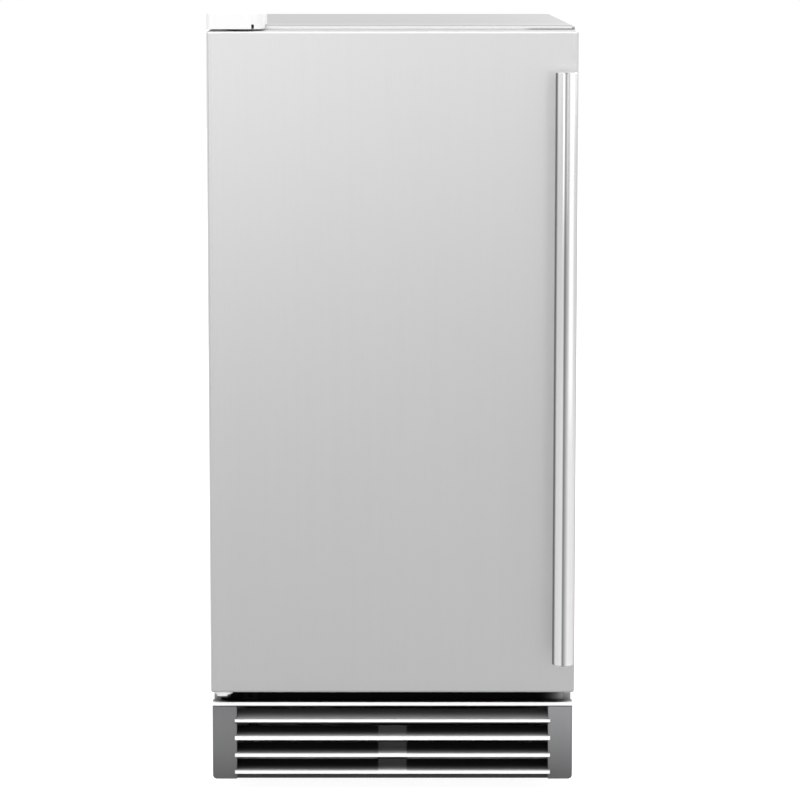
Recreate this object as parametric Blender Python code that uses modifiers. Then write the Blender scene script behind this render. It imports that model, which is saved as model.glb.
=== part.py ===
"""Outdoor under-counter ice maker.

An insulated cabinet with a hinged door, a louvred kick grille, an ice making module at the top of its bin
and a refrigeration compartment at its bottom rear.

Metres, +Z up. The front faces -Y and +X is to the right of someone who faces the door. The origin is on the
floor, in the middle of the whole machine with its handle.
"""

import math

import bmesh
import bpy
from mathutils import Matrix, Vector

# Gaps and overruns that serve the whole machine
CLEARANCE = 0.0003  # between two pieces that touch
RUNNING_GAP = 0.0006  # round a pin or shaft that turns
OVERRUN = 0.005  # how far a cutter goes past the wall that it cuts

# Cabinet
CABINET_WIDTH = 0.376
CABINET_DEPTH = 0.537
CABINET_HEIGHT = 0.7851  # from the underside of the base pan
PANEL_WALL = 0.001
SIDE_FLANGE = 0.007  # the side panels' folded edges, front and rear
TOP_WALL = 0.0012
TOP_FLANGE = 0.012
TOP_EDGE_RADIUS = 0.0027
BASE_WALL = 0.0012
BASE_FLANGE = 0.018
CROSSMEMBER_TOP = 0.112
CROSSMEMBER_HEIGHT = 0.022
CROSSMEMBER_DEPTH = 0.028
CROSSMEMBER_WALL = 0.0015

# Levelling feet
FOOT_PAD_HEIGHT = 0.015
FOOT_PAD_RADIUS = 0.018
FOOT_PAD_CHAMFER = 0.003
FOOT_BASE_HEIGHT = 0.006
FOOT_NECK_RADIUS = 0.009
FOOT_STUD_RADIUS = 0.005
FOOT_STUD_LENGTH = 0.036
FOOT_BOSS_RADIUS = 0.010
FOOT_BOSS_HEIGHT = 0.025
FOOT_SIDE_INSET = 0.038
FOOT_FRONT_INSET = 0.070
FOOT_REAR_INSET = 0.045

# Bin: each wall is counted from the cabinet's outside to the liner's inside
BIN_SIDE_WALL = 0.039
BIN_CEILING_WALL = 0.0324
BIN_REAR_WALL = 0.040
BIN_FLOOR = 0.150
BIN_STEP_HEIGHT = 0.177  # over the machine compartment
BIN_STEP_DEPTH = 0.189
STEP_FOAM = 0.035  # between the bin's step and the machine compartment
LINER_WALL = 0.002
LINER_CORNER_RADIUS = 0.012

# Door
DOOR_SIDE_REACH = 0.001  # past the cabinet's side
DOOR_THICKNESS = 0.040
DOOR_GAP = 0.008
DOOR_BOTTOM = 0.1106
DOOR_TOP_DROP = 0.0046  # below the cabinet's top
DOOR_WALL = 0.001
DOOR_EDGE_RADIUS = 0.002
DOOR_LINER_WALL = 0.003
DOOR_BULGE_DEPTH = 0.018
DOOR_BULGE_GAP = 0.010  # to the sides of the bin's mouth
DOOR_BULGE_RADIUS = 0.006
GASKET_INSET = 0.012
GASKET_WIDTH = 0.015
GASKET_EDGE_RADIUS = 0.002

# Door handle
HANDLE_RADIUS = 0.011
HANDLE_REACH = 0.038  # from the door's face to the bar's centre
HANDLE_SIDE_INSET = 0.0142  # from the door's edge to the bar's centre
HANDLE_TOP_INSET = 0.0403
HANDLE_BOTTOM_INSET = 0.0384
HANDLE_EDGE_RADIUS = 0.0008
HANDLE_POST_RADIUS = 0.006
HANDLE_POST_INSET = 0.060  # from the bar's end to the post
HANDLE_POST_SEAT = 0.004
HANDLE_COLLAR_RADIUS = 0.009
HANDLE_COLLAR_WALL = 0.002

# Hinges
HINGE_SIDE_INSET = 0.0125  # from the door's edge to the hinge axis
HINGE_PIN_RADIUS = 0.004
HINGE_PIN_LENGTH = 0.016
HINGE_PLATE_WALL = 0.003
HINGE_TONGUE_WIDTH = 0.0132
HINGE_TONGUE_REACH = 0.0075  # in front of the hinge axis
HINGE_PLATE_WIDTH = 0.038
HINGE_CORNER_RADIUS = 0.003
UPPER_PLATE_DEPTH = 0.046  # on top of the cabinet
LOWER_PLATE_DEPTH = 0.012
LOWER_PLATE_FOLD = 0.011
LOWER_PLATE_DROP = 0.0052  # from the door's bottom to the plate
BUSH_WALL = 0.0026
BUSH_DEPTH = 0.012
BUSH_FLANGE_RADIUS = 0.0095
BUSH_FLANGE_WALL = 0.0015

# Hinge cap
CAP_WIDTH = 0.058
CAP_REAR_REACH = 0.060  # over the cabinet's top
CAP_FRONT_SETBACK = 0.001
CAP_HEIGHT = 0.015  # above the cabinet's top
CAP_WALL = 0.002
CAP_DOOR_GAP = 0.002
CAP_FRONT_RADIUS = 0.020
CAP_SIDE_RADIUS = 0.005
CAP_EDGE_RADIUS = 0.0025
CAP_NOTCH_WIDTH = 0.0026
CAP_NOTCH_HEIGHT = 0.0046
CAP_NOTCH_PLACE_SHARE = 0.81  # of the cap's width, from its left

# Kick grille
KICK_SIDE_REACH = 0.0005  # past the cabinet's side
KICK_SETBACK = 0.020  # behind the door's face
KICK_BOTTOM = 0.0135
KICK_TOP = 0.0955
KICK_RAIL_DEPTH = 0.014
KICK_RAIL_WALL = 0.0042  # the rail's plain front face
KICK_END_WIDTH = 0.0252
KICK_END_WALL = 0.0045
KICK_END_SKIN = 0.002
KICK_END_RADIUS = 0.004
FIRST_LIP_DROP = 0.0183  # from the rail's top to the first lip's top
LOUVRE_COUNT = 3
LOUVRE_PITCH = 0.01807
LOUVRE_LIP = 0.0041
LOUVRE_WALL = 0.0012
LOUVRE_DEPTH = 0.022
LOUVRE_RISE = 0.0065
LOUVRE_SEAT = 0.002
BOTTOM_RAIL_STEP = 0.004
CENTRE_BRACKET_WIDTH = 0.031
CENTRE_BRACKET_WALL = 0.0015
CENTRE_BRACKET_FOOT = 0.008

# Ice making module
EVAPORATOR_LEFT_ROOM = 0.069  # to the bin's left wall, for the pump and its hose
EVAPORATOR_RIGHT_ROOM = 0.029  # to the bin's right wall
EVAPORATOR_HEIGHT = 0.190
EVAPORATOR_THICKNESS = 0.022
EVAPORATOR_WEB = 0.0016
CELL_COLUMNS = 8
CELL_ROWS = 8
CELL_DRAFT_SHARE = 0.86  # the pocket's floor against its mouth
COIL_RADIUS = 0.0045
COIL_PASSES = 6
HOUSING_WALL = 0.003
HOUSING_DEPTH = 0.062
HOUSING_SIDE_GAP = 0.0005
HOUSING_HEAD = 0.026  # above the evaporator, for the distributor
HOUSING_REAR_GAP = 0.010
EVAPORATOR_SETBACK = 0.006  # behind the housing's front
CURTAIN_WALL = 0.003
CURTAIN_PIN_RADIUS = 0.003
CURTAIN_GAP = 0.006
CURTAIN_LUG = 0.009
CURTAIN_FLARE = 0.008
DISTRIBUTOR_RADIUS = 0.007
DISTRIBUTOR_WALL = 0.0015
DISTRIBUTOR_HOLES = 7
DISTRIBUTOR_HOLE_RADIUS = 0.0014
TROUGH_HEIGHT = 0.036
TROUGH_DEPTH = 0.078
TROUGH_WALL = 0.0025
TROUGH_SIDE_GAP = 0.0005
TROUGH_DROP = 0.022  # below the evaporator
TROUGH_CORNER_RADIUS = 0.004
PUMP_RADIUS = 0.015
PUMP_MOTOR_HEIGHT = 0.045
PUMP_BODY_HEIGHT = 0.024
PUMP_NECK_RADIUS = 0.008
PUMP_NECK_HEIGHT = 0.014
PUMP_SPOUT_RADIUS = 0.004
PUMP_SPOUT = 0.005
PUMP_EDGE = 0.003
PUMP_SIDE_GAP = 0.010
HOSE_RADIUS = 0.005
HOSE_HOLE_GAP = 0.001
HOSE_SEAT = 0.004  # inside the distributor
FLOAT_RADIUS = 0.010
FLOAT_HEIGHT = 0.014
FLOAT_GUIDE_RADIUS = 0.002
FLOAT_GUIDE_HEIGHT = 0.030
FLOAT_SIDE_GAP = 0.002

# Controls
FASCIA_WIDTH = 0.180
FASCIA_HEIGHT = 0.024
FASCIA_DEPTH = 0.030
FASCIA_SETBACK = 0.020  # behind the bin's mouth
FASCIA_WALL = 0.0025
FASCIA_EDGE_RADIUS = 0.002
BUTTON_RADIUS = 0.007
BUTTON_HEIGHT = 0.003  # in front of the fascia
BUTTON_EDGE = 0.0008
BUTTON_COLLAR_RADIUS = 0.0085
BUTTON_COLLAR_WALL = 0.0015
BUTTON_PITCH = 0.045

# Scoop and its holder
SCOOP_WIDTH = 0.066
SCOOP_DEPTH = 0.034
SCOOP_LENGTH = 0.105
SCOOP_WALL = 0.0022
SCOOP_CORNER_RADIUS = 0.010
SCOOP_GRIP_RADIUS = 0.009
SCOOP_GRIP_LENGTH = 0.080
SCOOP_GRIP_EDGE = 0.003
SCOOP_SLANT = 0.045
SCOOP_SLANT_SHARE = 0.7  # of the bowl's depth
HOLDER_HEIGHT = 0.042
HOLDER_WALL = 0.0025
HOLDER_GAP = 0.0015
HOLDER_LIP = 0.004
HOLDER_SETBACK = 0.055  # behind the bin's mouth
HOLDER_DROP = 0.235  # below the bin's ceiling

# Bin drain
DRAIN_RADIUS = 0.009
DRAIN_WALL = 0.002
DRAIN_FLANGE_RADIUS = 0.018
DRAIN_FLANGE_WALL = 0.002
DRAIN_SPIGOT = 0.010  # below the foam
DRAIN_SETBACK = 0.200  # behind the cabinet's front
DRAIN_HOSE_RADIUS = 0.009
DRAIN_HOSE_DROP = 0.052

# Machine compartment
COVER_RECESS = 0.025  # from the cabinet's rear
COVER_WALL = 0.001
COVER_FOLD = 0.008
COVER_SLOT_COUNT = 9
COVER_SLOT_WIDTH = 0.110
COVER_SLOT_HEIGHT = 0.005
COVER_SLOT_PITCH = 0.012
COVER_SLOT_DROP = 0.140  # the top slot's distance below the compartment's ceiling
COMPRESSOR_HEIGHT = 0.165
COMPRESSOR_WAIST_SHARE = 0.55
COMPRESSOR_SEAM = 0.002
COMPRESSOR_DOME = 0.030
COMPRESSOR_PLATE_SIDE_STEP = 0.002  # in from the can's sides
COMPRESSOR_PLATE_END_STEP = 0.010  # in from the can's front and rear
COMPRESSOR_PLATE_WALL = 0.003
COMPRESSOR_GROMMET_RADIUS = 0.009
COMPRESSOR_GROMMET_HEIGHT = 0.010
GROMMET_SHARE = 0.85
COMPRESSOR_SIDE_INSET = 0.083  # from the cabinet's side to its axis
COMPRESSOR_FRONT_GAP = 0.015  # from the compartment's front wall
COMPRESSOR_REAR_GAP = 0.032  # to the cover, past the rear foot's stud
CONDENSER_HEIGHT = 0.176
CONDENSER_DEPTH = 0.034
CONDENSER_SIDE_GAP = 0.010
CONDENSER_MIDDLE_GAP = 0.022  # to the machine's middle, where the drain hose runs
CONDENSER_FRONT_GAP = 0.006
CONDENSER_FINS = 13
CONDENSER_FIN_WALL = 0.003
CONDENSER_TUBE_ROWS = 4
CONDENSER_TUBE_HEIGHT = 0.008
CONDENSER_FOOT_HEIGHT = 0.012
SHROUD_GAP = 0.004
SHROUD_WALL = 0.0012
SHROUD_COLLAR_DEPTH = 0.018
SHROUD_COLLAR_WALL = 0.002
SHROUD_RIM = 0.004  # beside the mouth
FAN_TIP_GAP = 0.004  # from the blades' tips to the mouth
FAN_HUB_RADIUS = 0.018
FAN_HUB_DEPTH = 0.014
FAN_BLADES = 5
FAN_BLADE_WIDTH = 0.040
FAN_BLADE_WALL = 0.0016
FAN_BLADE_PITCH = math.radians(24)
FAN_SHAFT_RADIUS = 0.003
FAN_SHAFT_SEAT = 0.010
FAN_ROOT_SHARE = 0.8
FAN_MOTOR_RADIUS = 0.026
FAN_MOTOR_DEPTH = 0.038
FAN_MOTOR_GAP = 0.004
FAN_BRACKET_WIDTH = 0.024
FAN_BRACKET_WALL = 0.003
FAN_BRACKET_FOOT = 0.030
DRIER_RADIUS = 0.009
DRIER_LENGTH = 0.080
DRIER_NECK_RADIUS = 0.004
DRIER_NECK_LENGTH = 0.014
DRIER_CLIP_HEIGHT = 0.012
DRIER_CLIP_GAP = 0.002
DRIER_PLACE = 0.010  # right of the machine's middle
VALVE_WIDTH = 0.034
VALVE_HEIGHT = 0.030
VALVE_DEPTH = 0.026
VALVE_COIL_RADIUS = 0.012
VALVE_COIL_HEIGHT = 0.022
VALVE_STUB_RADIUS = 0.0095
VALVE_STUB_LENGTH = 0.020
VALVE_STUB_WALL = 0.0025
VALVE_STUB_BORE_DEPTH = 0.014
VALVE_SIDE_INSET = 0.128  # from the cabinet's left side to its middle
VALVE_DROP = 0.062
BOX_WIDTH = 0.110
BOX_HEIGHT = 0.056
BOX_DEPTH = 0.050
BOX_EDGE_RADIUS = 0.003
BOX_SIDE_INSET = 0.078  # from the cabinet's right side to its middle
BOX_DROP = 0.010
GLAND_RADIUS = 0.009
GLAND_BORE_RADIUS = 0.0045
GLAND_LENGTH = 0.014
LINE_RADIUS = 0.004
SUCTION_RADIUS = 0.005
LINE_PLACE_SHARE = 0.72  # of the compressor's height
LINE_BEND_SHARE = 0.6
SUCTION_SHIFT = 0.014  # to the right and forward, from the compressor's axis

# Facets of round shapes
ROUND_STEPS = 20
FINE_STEPS = 40
SMALL_STEPS = 16
BEND_STEPS = 3
LOUVRE_STEPS = 5
COIL_BEND_STEPS = 6
DOME_STEPS = 5
FOLD_LIMIT_SHARE = 0.3  # keeps a sharp fold's corner from running out

# Colours, each red, green, blue
STEEL = (0.66, 0.67, 0.67)
GALVANISED = (0.55, 0.57, 0.58)
BLACK = (0.012, 0.012, 0.013)
WHITE = (0.86, 0.87, 0.87)
GREY = (0.28, 0.29, 0.30)
COPPER = (0.72, 0.38, 0.22)
TIN = (0.62, 0.64, 0.66)
FOAM = (0.83, 0.76, 0.55)
BLUE = (0.12, 0.30, 0.55)
CLEAR_GREY = (0.62, 0.66, 0.68)

# Places that follow from the sizes
BASE = FOOT_PAD_HEIGHT + CLEARANCE
TOP = BASE + CABINET_HEIGHT
SIDE = CABINET_WIDTH / 2
REACH = HANDLE_RADIUS + HANDLE_REACH + DOOR_THICKNESS + DOOR_GAP
REAR = (REACH + CABINET_DEPTH) / 2
FRONT = REAR - CABINET_DEPTH
DOOR_REAR = FRONT - DOOR_GAP
DOOR_FACE = DOOR_REAR - DOOR_THICKNESS
DOOR_SIDE = SIDE + DOOR_SIDE_REACH
DOOR_TOP = TOP - DOOR_TOP_DROP
HINGE_X = HINGE_SIDE_INSET - DOOR_SIDE
HINGE_Y = DOOR_REAR - DOOR_THICKNESS / 2
BIN_SIDE = SIDE - BIN_SIDE_WALL
BIN_TOP = TOP - BIN_CEILING_WALL
BIN_REAR = REAR - BIN_REAR_WALL
BIN_STEP = BIN_FLOOR + BIN_STEP_HEIGHT
BIN_STEP_FRONT = BIN_REAR - BIN_STEP_DEPTH
BAY_FRONT = BIN_STEP_FRONT + LINER_WALL + STEP_FOAM
BAY_TOP = BIN_STEP - LINER_WALL - STEP_FOAM
BAY_FLOOR = BASE + BASE_WALL
COVER_FACE = REAR - COVER_RECESS
PANEL_INSIDE = SIDE - max(PANEL_WALL, TOP_WALL) - CLEARANCE
REAR_PANEL_FACE = REAR - max(PANEL_WALL, TOP_WALL) - CLEARANCE
FOAM_BOTTOM = CROSSMEMBER_TOP + CLEARANCE
KICK_FACE = DOOR_FACE + KICK_SETBACK
KICK_SIDE = SIDE + KICK_SIDE_REACH
GRILLE_SIDE = KICK_SIDE - KICK_END_WIDTH
DRAIN_Y = FRONT + DRAIN_SETBACK
HOUSING_REAR = BIN_REAR - HOUSING_REAR_GAP
EVAPORATOR_LEFT = EVAPORATOR_LEFT_ROOM - BIN_SIDE
EVAPORATOR_RIGHT = BIN_SIDE - EVAPORATOR_RIGHT_ROOM
EVAPORATOR_WIDTH = EVAPORATOR_RIGHT - EVAPORATOR_LEFT
EVAPORATOR_FACE = HOUSING_REAR - HOUSING_DEPTH + EVAPORATOR_SETBACK
EVAPORATOR_BOTTOM = BIN_TOP - CLEARANCE - HOUSING_WALL - HOUSING_HEAD - EVAPORATOR_HEIGHT
DISTRIBUTOR_Y = EVAPORATOR_FACE + DISTRIBUTOR_RADIUS
DISTRIBUTOR_Z = EVAPORATOR_BOTTOM + EVAPORATOR_HEIGHT + HOUSING_HEAD / 2
TROUGH_TOP = EVAPORATOR_BOTTOM - TROUGH_DROP
COMPRESSOR_X = SIDE - COMPRESSOR_SIDE_INSET
COMPRESSOR_RADIUS = (COVER_FACE - BAY_FRONT - COMPRESSOR_FRONT_GAP - COMPRESSOR_REAR_GAP) / 2
COMPRESSOR_Y = BAY_FRONT + COMPRESSOR_FRONT_GAP + COMPRESSOR_RADIUS
COMPRESSOR_BOTTOM = BAY_FLOOR + CLEARANCE + COMPRESSOR_GROMMET_HEIGHT + COMPRESSOR_PLATE_WALL / 2
COMPRESSOR_TOP = COMPRESSOR_BOTTOM + COMPRESSOR_HEIGHT
SUCTION_X = COMPRESSOR_X + SUCTION_SHIFT
SUCTION_Y = COMPRESSOR_Y - SUCTION_SHIFT
CONDENSER_FACE = BAY_FRONT + CONDENSER_FRONT_GAP
CONDENSER_TOP = BAY_FLOOR + CLEARANCE + CONDENSER_FOOT_HEIGHT + CONDENSER_HEIGHT
SHROUD_FACE = CONDENSER_FACE + CONDENSER_DEPTH + SHROUD_GAP
BOX_X = SIDE - BOX_SIDE_INSET
VALVE_X = VALVE_SIDE_INSET - SIDE
CONDENSER_WIDTH = SIDE - CONDENSER_SIDE_GAP - CONDENSER_MIDDLE_GAP
SHROUD_MOUTH_RADIUS = CONDENSER_WIDTH / 2 - SHROUD_RIM
FAN_RADIUS = SHROUD_MOUTH_RADIUS - FAN_TIP_GAP
FAN_X = -SIDE + CONDENSER_SIDE_GAP + CONDENSER_WIDTH / 2
FAN_Y = SHROUD_FACE + SHROUD_WALL + SHROUD_COLLAR_DEPTH / 2
FAN_Z = CONDENSER_TOP - CONDENSER_HEIGHT / 2
HOLDER_HIGH = (
    BIN_SIDE - CLEARANCE,
    FRONT + HOLDER_SETBACK + SCOOP_WIDTH + (HOLDER_GAP + HOLDER_WALL) * 2,
    BIN_TOP - HOLDER_DROP,
)
HOLDER_LOW = (
    HOLDER_HIGH[0] - SCOOP_DEPTH - (HOLDER_GAP + HOLDER_WALL) * 2,
    FRONT + HOLDER_SETBACK,
    HOLDER_HIGH[2] - HOLDER_HEIGHT,
)
FOOT_PLACES = {
    "foot_front_left": (FOOT_SIDE_INSET - SIDE, FRONT + FOOT_FRONT_INSET),
    "foot_front_right": (SIDE - FOOT_SIDE_INSET, FRONT + FOOT_FRONT_INSET),
    "foot_rear_left": (FOOT_SIDE_INSET - SIDE, REAR - FOOT_REAR_INSET),
    "foot_rear_right": (SIDE - FOOT_SIDE_INSET, REAR - FOOT_REAR_INSET),
}


def clear_scene():
    for obj in list(bpy.data.objects):
        bpy.data.objects.remove(obj, do_unlink=True)
    for group in list(bpy.data.collections):
        bpy.data.collections.remove(group)


clear_scene()
PARTS = bpy.data.collections.new("outdoor_ice_maker")
CUTTERS = bpy.data.collections.new("cutters")
bpy.context.scene.collection.children.link(PARTS)
bpy.context.scene.collection.children.link(CUTTERS)
MATERIALS = {}


def surface(name, colour, roughness, metallic):
    """One Principled material for each kind of surface."""
    if name not in MATERIALS:
        made = bpy.data.materials.new(name)
        made.use_nodes = True
        shader = made.node_tree.nodes["Principled BSDF"]
        shader.inputs["Base Color"].default_value = (*colour, 1)
        shader.inputs["Roughness"].default_value = roughness
        shader.inputs["Metallic"].default_value = metallic
        made.diffuse_color = (*colour, 1)
        MATERIALS[name] = made
    return MATERIALS[name]


def stainless():
    return surface("brushed stainless", STEEL, 0.34, 1)


def galvanised():
    return surface("galvanised sheet", GALVANISED, 0.48, 1)


def polished():
    return surface("polished steel", TIN, 0.18, 1)


def black_paint():
    return surface("black paint", BLACK, 0.5, 0)


def white_plastic():
    return surface("white plastic", WHITE, 0.38, 0)


def grey_plastic():
    return surface("grey plastic", GREY, 0.45, 0)


def black_rubber():
    return surface("black rubber", BLACK, 0.8, 0)


def copper():
    return surface("copper", COPPER, 0.3, 1)


def placed(name, mesh, look, location=(0, 0, 0), rotation=(0, 0, 0)):
    """Puts a mesh or a curve in the scene: a piece when it has a material, a helper when it has none."""
    obj = bpy.data.objects.new(name, mesh)
    obj.location = location
    obj.rotation_euler = rotation
    if look is None:
        CUTTERS.objects.link(obj)
        obj.hide_render = True
        obj.display_type = "WIRE"
    else:
        PARTS.objects.link(obj)
        if look.name not in mesh.materials:
            mesh.materials.append(look)
    return obj


def mesh_from(bm, name):
    mesh = bpy.data.meshes.new(name)
    bm.to_mesh(mesh)
    bm.free()
    return mesh


def box(name, low, high, look=None):
    """A box between two opposite corners."""
    low, high = Vector(low), Vector(high)
    bm = bmesh.new()
    bmesh.ops.create_cube(bm, size=1, matrix=Matrix.Diagonal((*(high - low), 1)))
    return placed(name, mesh_from(bm, name), look, (low + high) / 2)


def boxes(name, corners, look=None):
    """Several separate boxes in one mesh, each given by its two corners. A cutter for a row of slots."""
    bm = bmesh.new()
    for low, high in corners:
        low, high = Vector(low), Vector(high)
        place = Matrix.Translation((low + high) / 2) @ Matrix.Diagonal((*(high - low), 1))
        bmesh.ops.create_cube(bm, size=1, matrix=place)
    return placed(name, mesh_from(bm, name), look)


ALONG_X = (0, math.pi / 2, 0)
ALONG_Y = (math.pi / 2, 0, 0)
ALONG_Z = (0, 0, 0)


def cylinder(name, radius, start, length, direction, look=None, steps=ROUND_STEPS):
    """A round bar of a length from its start point, along X, Y or Z."""
    bm = bmesh.new()
    bmesh.ops.create_cone(bm, cap_ends=True, segments=steps, radius1=radius, radius2=radius, depth=length)
    along = {ALONG_X: Vector((1, 0, 0)), ALONG_Y: Vector((0, 1, 0)), ALONG_Z: Vector((0, 0, 1))}[direction]
    obj = placed(name, mesh_from(bm, name), look, Vector(start) + along * length / 2, direction)
    smooth(obj)
    return obj


def smooth(obj):
    obj.data.shade_smooth()
    obj.data.set_sharp_from_angle(angle=math.radians(35))


def solid_from_curve(guide):
    """Turns a filled curve into a welded mesh and removes the curve."""
    bpy.context.view_layer.update()
    evaluated = guide.evaluated_get(bpy.context.evaluated_depsgraph_get())
    mesh = bpy.data.meshes.new_from_object(evaluated)
    bm = bmesh.new()
    bm.from_mesh(mesh)
    bmesh.ops.remove_doubles(bm, verts=bm.verts, dist=CLEARANCE / ROUND_STEPS)
    bmesh.ops.dissolve_limit(bm, angle_limit=math.radians(1), verts=bm.verts, edges=bm.edges)
    bmesh.ops.recalc_face_normals(bm, faces=bm.faces)
    bm.to_mesh(mesh)
    bm.free()
    curve = guide.data
    bpy.data.objects.remove(guide)
    bpy.data.curves.remove(curve)
    return mesh


FROM_SIDE = (math.pi / 2, 0, math.pi / 2)  # an outline of (y, z) points, extruded along X
FROM_FRONT = (math.pi / 2, 0, 0)  # an outline of (x, z) points, extruded along Y
FROM_ABOVE = (0, 0, 0)  # an outline of (x, y) points, extruded along Z


def extruded(name, outlines, low, high, view, look=None):
    """A flat shape, drawn as seen from one side, extruded between two places on the axis that it faces."""
    curve = bpy.data.curves.new(name, "CURVE")
    curve.dimensions = "2D"
    curve.fill_mode = "BOTH"
    curve.extrude = (high - low) / 2
    for outline in outlines:
        spline = curve.splines.new("POLY")
        spline.points.add(len(outline) - 1)
        for point, (across, up) in zip(spline.points, outline):
            point.co = (across, up, 0, 1)
        spline.use_cyclic_u = True
    guide = bpy.data.objects.new(name, curve)
    CUTTERS.objects.link(guide)
    middle = (low + high) / 2
    place = {FROM_SIDE: (middle, 0, 0), FROM_FRONT: (0, middle, 0), FROM_ABOVE: (0, 0, middle)}[view]
    return placed(name, solid_from_curve(guide), look, place, view)


def rounded(corners, radius, steps=BEND_STEPS):
    """An outline with each corner rounded. The radius is one number, or one for each corner."""
    radii = radius if isinstance(radius, (list, tuple)) else [radius] * len(corners)
    outline = []
    for index, corner in enumerate(corners):
        here = Vector(corner)
        before = Vector(corners[index - 1]) - here
        after = Vector(corners[(index + 1) % len(corners)]) - here
        bend = radii[index]
        if not bend:
            outline.append(tuple(here))
            continue
        half = before.angle(after) / 2
        back = bend / math.tan(half)
        centre = here + (before.normalized() + after.normalized()).normalized() * bend / math.sin(half)
        first = here + before.normalized() * back - centre
        last = here + after.normalized() * back - centre
        sweep = first.angle_signed(last)
        for step in range(steps + 1):
            turned_by = Matrix.Rotation(-sweep * step / steps, 2)
            outline.append(tuple(centre + turned_by @ first))
    return outline


def arc(centre, radius, start, end, steps):
    """Points of an arc. The radius is one number, or one across and one up. Angles are in quarter turns."""
    across, up = radius if isinstance(radius, tuple) else (radius, radius)
    points = []
    for step in range(steps + 1):
        angle = (start + (end - start) * step / steps) * math.pi / 2
        points.append((centre[0] + across * math.cos(angle), centre[1] + up * math.sin(angle)))
    return points


def rectangle(left, right, bottom, top):
    return [(left, bottom), (right, bottom), (right, top), (left, top)]


def turned(name, profile, place, look=None, direction=ALONG_Z, steps=ROUND_STEPS, closed=False):
    """A turned shape. The profile's points are (radius, height), from the top down the outer side."""
    mesh = bpy.data.meshes.new(name)
    edges = [(index, index + 1) for index in range(len(profile) - 1)]
    if closed:
        edges.append((len(profile) - 1, 0))
    mesh.from_pydata([(radius, 0, height) for radius, height in profile], edges, [])
    obj = placed(name, mesh, look, place, direction)
    screw = obj.modifiers.new("Turn", "SCREW")
    screw.axis = "Z"
    screw.angle = 2 * math.pi
    screw.steps = screw.render_steps = steps
    screw.use_merge_vertices = True
    screw.merge_threshold = CLEARANCE / ROUND_STEPS
    screw.use_smooth_shade = False
    return obj


def smooth_route(points, steps=BEND_STEPS):
    """Points along a smooth curve through the given ones. Its first and last legs stay straight."""
    points = [Vector(point) for point in points]
    first, last = points[1] - points[0], points[-1] - points[-2]
    knots = points[1:-1]
    before = knots[1] - first.normalized() * (knots[1] - knots[0]).length
    after = knots[-2] + last.normalized() * (knots[-1] - knots[-2]).length
    ends = [before, *knots, after]
    route = [points[0]]
    for a, b, c, d in zip(ends, ends[1:], ends[2:], ends[3:]):
        for step in range(steps):
            t = step / steps
            pull, push = a * 2 - b * 5 + c * 4 - d, b * 3 - a - c * 3 + d
            route.append((b * 2 + (c - a) * t + pull * t**2 + push * t**3) / 2)
    return route + points[-2:]


def tube(name, route, radius, look=None, fineness=2):
    """A round tube or wire along a route."""
    curve = bpy.data.curves.new(name, "CURVE")
    curve.dimensions = "3D"
    curve.bevel_depth = radius
    curve.bevel_resolution = fineness
    curve.use_fill_caps = True
    spline = curve.splines.new("POLY")
    spline.points.add(len(route) - 1)
    for point, place in zip(spline.points, route):
        point.co = (*place, 1)
    return placed(name, curve, look)


def shell(name, low, high, open_sides, wall, look=None, bend=0):
    """Sheet metal folded to a box that is open on the named sides. The outside keeps the box's size."""
    obj = box(name, low, high, look)
    bm = bmesh.new()
    bm.from_mesh(obj.data)
    gone = [face for face in bm.faces if any(face.normal.dot(Vector(side)) > 0.5 for side in open_sides)]
    bmesh.ops.delete(bm, geom=gone, context="FACES")
    bm.to_mesh(obj.data)
    bm.free()
    if bend:
        bevel(obj, bend)
    fold = obj.modifiers.new("Sheet", "SOLIDIFY")
    fold.thickness = wall
    fold.offset = -1
    fold.use_even_offset = True
    return obj


LEFT, RIGHT = (-1, 0, 0), (1, 0, 0)
FORWARD, BACKWARD = (0, -1, 0), (0, 1, 0)
DOWN, UP = (0, 0, -1), (0, 0, 1)


def bevel(obj, width, steps=2, angle=math.radians(40)):
    edge = obj.modifiers.new("Edge", "BEVEL")
    edge.width = width
    edge.segments = steps
    edge.limit_method = "ANGLE"
    edge.angle_limit = angle
    return obj


def boolean(obj, other, operation):
    step = obj.modifiers.new(operation.title(), "BOOLEAN")
    step.operation = operation
    step.solver = "EXACT"
    step.object = other
    other.parent = obj
    other.matrix_parent_inverse = obj.matrix_basis.inverted()
    return obj


def cut(obj, *cutters):
    for cutter in cutters:
        boolean(obj, cutter, "DIFFERENCE")
    return obj


def join(obj, *others):
    for other in others:
        boolean(obj, other, "UNION")
    return obj


def pivot(name, place, *carried):
    """An empty on a joint's axis that carries the pieces which move with it."""
    empty = bpy.data.objects.new(name, None)
    PARTS.objects.link(empty)
    empty.location = place
    for obj in carried:
        obj.parent = empty
        obj.matrix_parent_inverse = Matrix.Translation(place).inverted()
    return empty


def sheet_outline(path, wall):
    """The outline of folded sheet whose middle line follows a path."""
    points = [Vector(point) for point in path]
    sides = ([], [])
    for index, here in enumerate(points):
        runs = []
        if index:
            runs.append((here - points[index - 1]).normalized())
        if index < len(points) - 1:
            runs.append((points[index + 1] - here).normalized())
        along = sum(runs, Vector((0, 0))).normalized()
        across = Vector((-along.y, along.x))
        spread = wall / 2 / max(across.dot(Vector((-runs[0].y, runs[0].x))), FOLD_LIMIT_SHARE)
        sides[0].append(tuple(here + across * spread))
        sides[1].append(tuple(here - across * spread))
    return sides[0] + sides[1][::-1]


def between(start, end, share):
    return Vector(start).lerp(Vector(end), share)


def ring(name, place, bore, radius, depth, look, direction=ALONG_Z):
    """A plain round sleeve."""
    profile = [(bore, depth), (radius, depth), (radius, 0), (bore, 0)]
    return turned(name, profile, place, look, direction, closed=True)


# Cabinet sheet metal


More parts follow.
